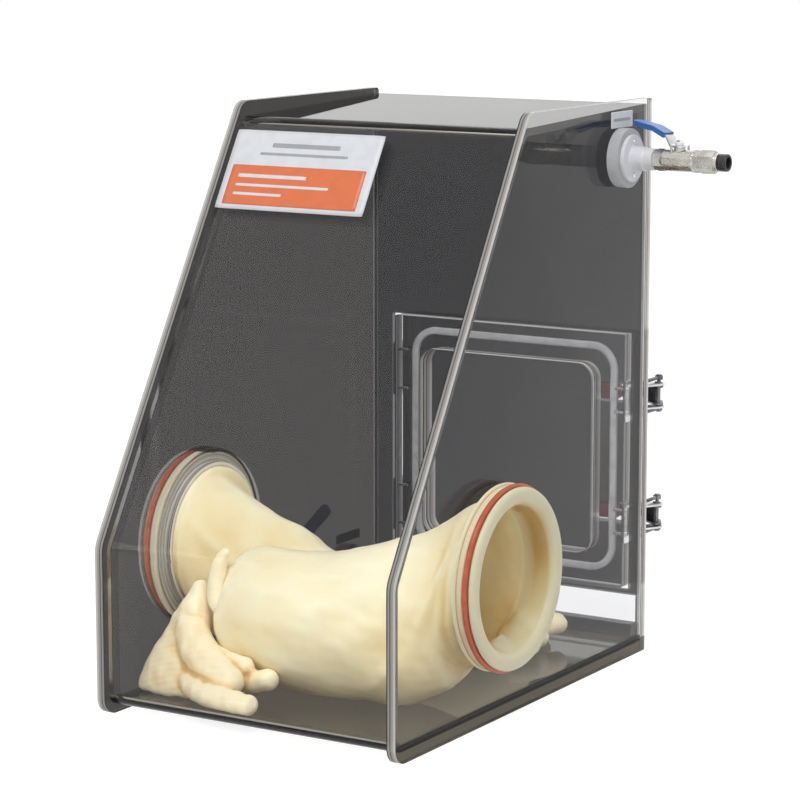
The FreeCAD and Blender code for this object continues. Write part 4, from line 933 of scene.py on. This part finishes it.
class GLOVEBOX_OT_rings(bpy.types.Operator):
    """Dress the O-rings and sweep the door's cord seal"""
    bl_idname = "glovebox.rings"
    bl_label = "O-rings and seal"

    def execute(self, context):
        wear(rubber("red_rubber", (0.62, 0.13, 0.06), 0.36), *both("cuff_oring"))
        low, high = (np.array(corner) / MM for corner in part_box("door_seal"))
        middle = (low + high) / 2
        half = (high[0] - low[0]) / 2
        depth = high[1] - low[1]
        rings = []
        for w in np.linspace(0, 2 * math.pi, 20, endpoint=False):
            across = half - SEAL_WIDTH / 2 + SEAL_WIDTH / 2 * boxed(math.cos(w))
            back = middle[1] + depth / 2 * boxed(math.sin(w))
            flat = course(across, SEAL_CORNER - (half - across), 0.0)
            rings.append(np.column_stack([flat[:, 0] + middle[0], np.full(len(flat), back),
                                          flat[:, 1] + middle[2]]))
        grid = np.array(rings)
        rows, columns = grid.shape[:2]
        faces = quads(rows + 1, columns) % (rows * columns)
        piece = new_mesh("door_cord_seal", grid.reshape(-1, 3) * MM, faces)
        mesh = bmesh.new()
        mesh.from_mesh(piece.data)
        bmesh.ops.recalc_face_normals(mesh, faces=mesh.faces)
        mesh.to_mesh(piece.data)
        mesh.free()
        piece.data.materials.append(rubber("white_seal", (0.93, 0.94, 0.95), 0.46))
        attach(piece, "enclosure")
        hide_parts("door_seal")
        return {"FINISHED"}


def right_skin():
    """Cuff and sleeve of the right glove. The sleeve sags to the floor and ends in a blunt fold."""
    right = [(CHAMBER - 2, PORT_Y, PORT_Z, CUFF_BORE, CUFF_BORE, 0),
             (156.5, 193, 142, 71.5, 75.5, 0.05),
             (145, 190, 133, 66, 83, 0.14), (132, 186, 122, 62.5, 88, 0.22),
             (100, 172, on_floor(84), 61, 84, 0.3), (60, 157, on_floor(76.5), 67, 76.5, 0.2),
             (10, 143, on_floor(70), 69.5, 70, 0.1), (-38, 136, on_floor(69.5), 66.5, 69.5, 0),
             (-72, 132, on_floor(69), 60, 69, 0), (-86, 131, on_floor(65), 47, 65, 0),
             (-92, 130, on_floor(59), 29, 59, 0), (-94.5, 130, on_floor(58), 6, 30, 0)]
    right_creases = [(158, 0.98, 130, 0.03, 6, -2.5), (158, 0.10, 120, 0.16, 8, 2.0),
                     (156, 0.86, 118, 0.70, 7, 3.2), (118, 0.70, 70, 0.60, 9, 3.0),
                     (120, 0.78, 40, 0.72, 14, 3.0), (96, 0.88, -20, 0.82, 11, -2.0),
                     (30, 0.66, -60, 0.74, 12, 2.6), (-20, 0.90, -70, 0.97, 10, -2.2),
                     (-50, 0.62, -88, 0.84, 9, 3.0), (-60, 0.98, -90, 0.78, 8, -2.4),
                     (110, 0.92, 60, 0.98, 9, -1.6)]
    tucks = [(192, 0.62, 156, 0.55, 9, -10), (188, 0.48, 158, 0.50, 7, -9),
             (188, 0.36, 160, 0.42, 9, -8), (190, 0.42, 166, 0.40, 6, 3),
             (191, 0.03, 164, 0.99, 5, -6), (190, 0.075, 166, 0.10, 4, -4.5)]
    return glove_skin("right_glove_skin", 1, right, tucks, right_creases, 11)


def left_skin():
    """Cuff and sleeve of the left glove. The sleeve runs back along the floor."""
    left = [(2 - CHAMBER, PORT_Y, PORT_Z, CUFF_BORE, CUFF_BORE, 0),
            (-157, 189, 138.5, 66, 74, 0),
            (-140, 192, 120, 58, 78, 0.05), (-112, 214, on_floor(77), 48, 77, 0.05),
            (-85, 241, on_floor(66), 46, 66, 0.05), (-60, 254, on_floor(56), 49, 56, 0),
            (0, 293, on_floor(46), 50, 46, 0), (55, 336, on_floor(37), 45, 37, 0),
            (88, 372, on_floor(27), 36, 27, 0), (96, 378, on_floor(24), 14, 12, 0)]
    left_creases = [(-158, 0.05, -110, 0.95, 6, -4), (-156, 0.85, -100, 0.78, 7, 3.5),
                    (-150, 0.30, -110, 0.22, 6, -3), (-90, 0.9, -20, 0.98, 8, 3),
                    (-60, 0.80, 10, 0.86, 7, -3), (-10, 0.92, 50, 0.80, 8, 3)]
    tucks = [(-188, 0.55, -150, 0.46, 8, -12), (-188, 0.46, -150, 0.54, 8, -10),
             (-190, 0.03, -160, 0.97, 5, -5)]
    return glove_skin("left_glove_skin", -1, left, tucks, left_creases, 23)


def right_hand(voxel):
    """Hand of the right glove: the palm, the rolled cuff end, the thumb and the fingers."""
    palm = level_rings([(127, -114, 96, 4, 6), (120, -114, 95, 8, 11), (104, -114, 88, 15, 17),
                        (76, -117, 76, 25, 20), (46, -121, 62, 35, 18), (24, -123, 53, 38, 13),
                        (18.5, -123, 52, 33, 9)], 40, 48)
    rolled = limb([(-80, 98, 163), (-88, 96, 151), (-92, 93, 131), (-89, 89, 114), (-79, 86, 106),
                   (-68, 86, 107), (-60, 88, 113)], [4, 7, 8.5, 10, 10.5, 9, 3], 44)
    hand = [palm, rolled,
            limb([(-112, 82, 102), (-112, 75, 86), (-90, 61, 63), (-62, 52, 49), (-44, 47, 42),
                  (-31, 44, 38)],
                 [10, 16, 19.5, 17.5, 15, 13], 34, 32),
            limb([(-108, 60, 40), (-86, 44, 33), (-60, 32, 30), (-28, 26, 29.5), (3, 23, 29)],
                 [10, 12, 12, 11.5, 10.5], 30, 30),
            limb([(-80, 66, 46), (-56, 68, 40), (-36, 70, 39), (-18, 70, 43), (-3, 69, 47)],
                 [13, 12, 11.5, 11, 10]),
            limb([(-88, 64, 64), (-66, 66, 58), (-50, 67, 55), (-40, 67, 54), (-29, 67, 54)],
                 [12, 11, 10.5, 10.5, 9.5])]
    lines = [((-146, 50, 66), (-118, 48, 70), 4, -2.4), ((-118, 48, 70), (-98, 44, 46), 3.5, -2.6),
             ((-98, 44, 46), (-62, 38, 34), 3, -2.2), ((-126, 70, 104), (-118, 56, 76), 4, 2.2),
             ((-116, 92, 118), (-112, 86, 100), 5, -3), ((-150, 50, 48), (-120, 40, 30), 6, 1.6)]
    return one_body("right_glove_hand", hand, voxel, 31, lines)


def left_hand(voxel):
    """Hand of the left glove: four fingers that lie on the floor."""
    lay = FLOOR_TOP + 14.0
    far = [limb([(70, 366, lay + 8), (88, 382, lay + 4), (100, 400, lay), (108, 414, lay)],
                [15, 13.5, 12.5, 12]),
           limb([(66, 372, lay + 10), (90, 400, lay + 8), (103, 430, lay + 8), (110, 449, lay + 7)],
                [15, 13.5, 12.5, 12]),
           limb([(62, 376, lay + 6), (76, 410, lay + 3), (80, 440, lay), (83, 462, lay)],
                [15, 13.5, 12.5, 12]),
           limb([(76, 360, lay + 6), (94, 366, lay + 3), (110, 372, lay), (121, 377, lay)],
                [14, 13, 12.5, 12])]
    creases = [((84, 380, 60), (100, 400, 52), 4, -2)]
    return one_body("left_glove_hand", far, voxel, 41, creases)


class GLOVEBOX_OT_gloves(bpy.types.Operator):
    """Make both gloves: the cuffs over the rings, the collapsed sleeves and the hands"""
    bl_idname = "glovebox.gloves"
    bl_label = "Gloves"

    def execute(self, context):
        values = context.scene.glovebox_gloves
        # The shade stop is painted shade in hollows and under the latex; the pale stop is partly a painted
        # highlight on tops and ridges.
        stops = [(0.28, tuple(values.shade)), (0.5, tuple(values.cream)), (0.72, tuple(values.pale))]
        skin = latex("latex", stops, 0.42)
        voxel = values.voxel / MM
        skins = (right_skin(), left_skin())
        hands = (right_hand(voxel), left_hand(voxel))
        for node, *pieces in zip(("right_glove", "left_glove"), skins, hands):
            for piece in pieces:
                piece.data.materials.append(skin)
                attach(piece, "enclosure")
                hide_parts(node)
        return {"FINISHED"}


def slope_place(across, down, lift):
    """Point on the slope's outer face: across along X, down the slope from its top line, and lift
    away from the face, all in millimetres."""
    way = (SLOPE_LOW - SLOPE_TOP) / np.linalg.norm(SLOPE_LOW - SLOPE_TOP)
    out = np.array([0.0, way[2], -way[1]])
    across, down, lift = (np.asarray(v, float)[..., None] for v in (across, down, lift))
    return SLOPE_TOP + np.array([1.0, 0.0, 0.0]) * across + way * down + out * lift


def panel_place(side):
    """Place function of the outer face of one side panel: along Y, up, and out from the face."""
    def place(along, up, out):
        return np.stack([side * (PANEL_FACE + out), along, up], axis=-1)
    return place


def film(name, place, low, high, lift, thickness, corner):
    """Thin film with rounded corners: a grid of two parameters pulled into the rounded outline,
    given its thickness by Solidify."""
    rows, columns = 16, 24
    u, v = np.meshgrid(np.linspace(-1, 1, columns), np.linspace(-1, 1, rows))
    half = np.array([(high[0] - low[0]) / 2, (high[1] - low[1]) / 2])
    a = u * half[0]
    b = v * half[1]
    over_a = np.maximum(np.abs(a) - (half[0] - corner), 0)
    over_b = np.maximum(np.abs(b) - (half[1] - corner), 0)
    far = np.maximum(np.hypot(over_a, over_b), 1e-9)
    pull = np.minimum(1, corner / far)
    a = np.sign(a) * (np.minimum(np.abs(a), half[0] - corner) + over_a * pull)
    b = np.sign(b) * (np.minimum(np.abs(b), half[1] - corner) + over_b * pull)
    points = place(a + (low[0] + high[0]) / 2, b + (low[1] + high[1]) / 2, np.full(a.shape, lift))
    piece = new_mesh(name, to_frame(points.reshape(-1, 3)), open_quads(rows, columns))
    wall = piece.modifiers.new("thickness", "SOLIDIFY")
    wall.thickness = thickness * MM
    wall.offset = 0.0
    return piece


class GLOVEBOX_OT_card(bpy.types.Operator):
    """Lay the plain two-coloured card on the slope and the plain plates by the valves"""
    bl_idname = "glovebox.card"
    bl_label = "Card and plates"

    def execute(self, context):
        white = printed("card_white", (0.84, 0.86, 0.90))
        orange = printed("card_orange", (0.86, 0.20, 0.07))
        grey = printed("card_grey", (0.42, 0.43, 0.47))
        right, left = panel_place(1), panel_place(-1)
        films = [("card", slope_place, white, (-160, 0), (19, 90), 0.25, 0.4, 1.5),
                 ("card_field", slope_place, orange, (-153, 40), (9, 85), 0.5, 0.12, 1.0),
                 ("card_band_upper", slope_place, grey, (-112, 14), (-30, 19), 0.5, 0.1, 0.6),
                 ("card_band_lower", slope_place, grey, (-124, 25), (-18, 28), 0.5, 0.1, 0.6),
                 ("card_stripe_upper", slope_place, white, (-143, 50), (-60, 54), 0.62, 0.1, 0.6),
                 ("card_stripe_middle", slope_place, white, (-143, 61), (-30, 64), 0.62, 0.1, 0.6),
                 ("card_stripe_lower", slope_place, white, (-143, 71), (-84, 74), 0.62, 0.1, 0.6),
                 ("right_plate", right, white, (426, 573), (474, 590), 0.25, 0.4, 1.0),
                 ("right_plate_rule", right, grey, (431, 580), (469, 583), 0.45, 0.1, 1.0),
                 ("left_plate", left, white, (441, 91), (490, 101.5), 0.25, 0.4, 1.0),
                 ("left_plate_rule", left, grey, (446, 95), (485, 97), 0.45, 0.1, 1.0)]
        for name, place, material, low, high, lift, thickness, corner in films:
            piece = film(name, place, low, high, lift, thickness, corner)
            piece.data.materials.append(material)
            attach(piece, "enclosure")
        return {"FINISHED"}


def background_rays(owner):
    """1 for what the camera sees, also by way of metal and glass, and 0 for light on the part."""
    path = owner.node_tree.nodes.new("ShaderNodeLightPath")
    seen = maths(owner, "MAXIMUM", path.outputs["Is Camera Ray"], path.outputs["Is Glossy Ray"])
    return maths(owner, "MAXIMUM", seen, path.outputs["Is Transmission Ray"])


def studio_floor():
    """White paper floor that glows a little where it is seen, and keeps the part's shadow."""
    lines = np.linspace(-STUDIO_HALF, STUDIO_HALF, 25)
    x, y = np.meshgrid(lines, lines)
    points = np.stack([x, y, np.zeros_like(x)], axis=-1).reshape(-1, 3)
    floor = new_mesh("studio_floor", points, open_quads(25, 25))
    material, shader, place = new_finish("studio_floor", (0.80, 0.80, 0.80), 0.7)
    paper = noise(material, place, 3.0, 3.0)
    link(material, tones(material, paper, [(0.3, (0.78, 0.78, 0.78)), (0.7, (0.82, 0.82, 0.82))]),
         shader.inputs["Base Color"])
    glow = material.node_tree.nodes.new("ShaderNodeEmission")
    glow.inputs["Color"].default_value = (1, 1, 1, 1)
    glow.inputs["Strength"].default_value = 1.7
    share = maths(material, "MULTIPLY", background_rays(material), 0.5)
    show_mix(material, share, shader.outputs["BSDF"], glow.outputs["Emission"])
    floor.data.materials.append(material)


def studio_world(scene):
    """White world, dimmer as a light than as a background."""
    world = bpy.data.worlds.new("studio")
    world.use_nodes = True
    scene.world = world
    background = world.node_tree.nodes["Background"]
    background.inputs["Color"].default_value = (1, 1, 1, 1)
    link(world, spread(world, background_rays(world), 0.38, 1.0), background.inputs["Strength"])


def studio_lamps(scene, key):
    """Three area lamps that face the part: key, fill and back."""
    lamps = [("key_lamp", (0.9, -1.3, 2.6), 1.3, 1.0), ("fill_lamp", (-2.2, -1.6, 0.9), 1.8, 0.4),
             ("back_lamp", (-0.6, 2.0, 2.1), 1.6, 0.3)]
    for name, spot, size, share in lamps:
        light = bpy.data.lights.new(name, "AREA")
        light.size = size
        light.energy = key * share
        lamp = bpy.data.objects.new(name, light)
        scene.collection.objects.link(lamp)
        aim = LAMP_AIM - np.array(spot)
        aim = aim / np.linalg.norm(aim)
        lamp.location = spot
        lamp.rotation_euler = (math.acos(-aim[2]), 0.0, math.atan2(aim[0], -aim[1]) + math.pi)


class GLOVEBOX_OT_stage(bpy.types.Operator):
    """Set the floor, the studio light and the camera"""
    bl_idname = "glovebox.stage"
    bl_label = "Stage"

    def execute(self, context):
        values = context.scene.glovebox_stage
        scene = context.scene
        studio_floor()
        studio_world(scene)
        studio_lamps(scene, values.key)
        camera = bpy.data.cameras.new("camera")
        camera.lens = values.lens
        camera.sensor_width = 36.0
        camera.clip_end = 100.0
        view = bpy.data.objects.new("camera", camera)
        view.location = CAMERA_SPOT
        view.rotation_euler = (math.pi / 2 - values.elevation, 0.0, values.azimuth)
        scene.collection.objects.link(view)
        scene.camera = view
        scene.view_settings.view_transform = "Standard"
        return {"FINISHED"}


class GLOVEBOX_PT_panel(bpy.types.Panel):
    """Sidebar list of the glove box's pieces"""
    bl_idname = "GLOVEBOX_PT_panel"
    bl_label = "Glove Box"
    bl_space_type = "VIEW_3D"
    bl_region_type = "UI"
    bl_category = "Glove Box"

    def draw(self, context):
        for group in (context.scene.glovebox_acrylic, context.scene.glovebox_gloves,
                      context.scene.glovebox_stage):
            for name in group.bl_rna.properties.keys():
                if name not in ("rna_type", "name"):
                    self.layout.prop(group, name)
        for operator in (GLOVEBOX_OT_acrylic, GLOVEBOX_OT_metal, GLOVEBOX_OT_rings, GLOVEBOX_OT_gloves,
                         GLOVEBOX_OT_card, GLOVEBOX_OT_stage):
            self.layout.operator(operator.bl_idname)


CLASSES = (GloveBoxAcrylic, GloveBoxGloves, GloveBoxStage, GLOVEBOX_OT_acrylic, GLOVEBOX_OT_metal,
           GLOVEBOX_OT_rings, GLOVEBOX_OT_gloves, GLOVEBOX_OT_card, GLOVEBOX_OT_stage, GLOVEBOX_PT_panel)


def register():
    for item in CLASSES:
        bpy.utils.register_class(item)
    bpy.types.Scene.glovebox_acrylic = bpy.props.PointerProperty(type=GloveBoxAcrylic)
    bpy.types.Scene.glovebox_gloves = bpy.props.PointerProperty(type=GloveBoxGloves)
    bpy.types.Scene.glovebox_stage = bpy.props.PointerProperty(type=GloveBoxStage)


def unregister():
    del bpy.types.Scene.glovebox_stage
    del bpy.types.Scene.glovebox_gloves
    del bpy.types.Scene.glovebox_acrylic
    for item in reversed(CLASSES):
        bpy.utils.unregister_class(item)


def main():
    """Registers the add-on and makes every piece."""
    register()
    bpy.ops.glovebox.stage()
    bpy.ops.glovebox.acrylic()
    bpy.ops.glovebox.metal()
    bpy.ops.glovebox.rings()
    bpy.ops.glovebox.gloves()
    bpy.ops.glovebox.card()
    bpy.context.view_layer.update()


if __name__ == "__main__":
    main()
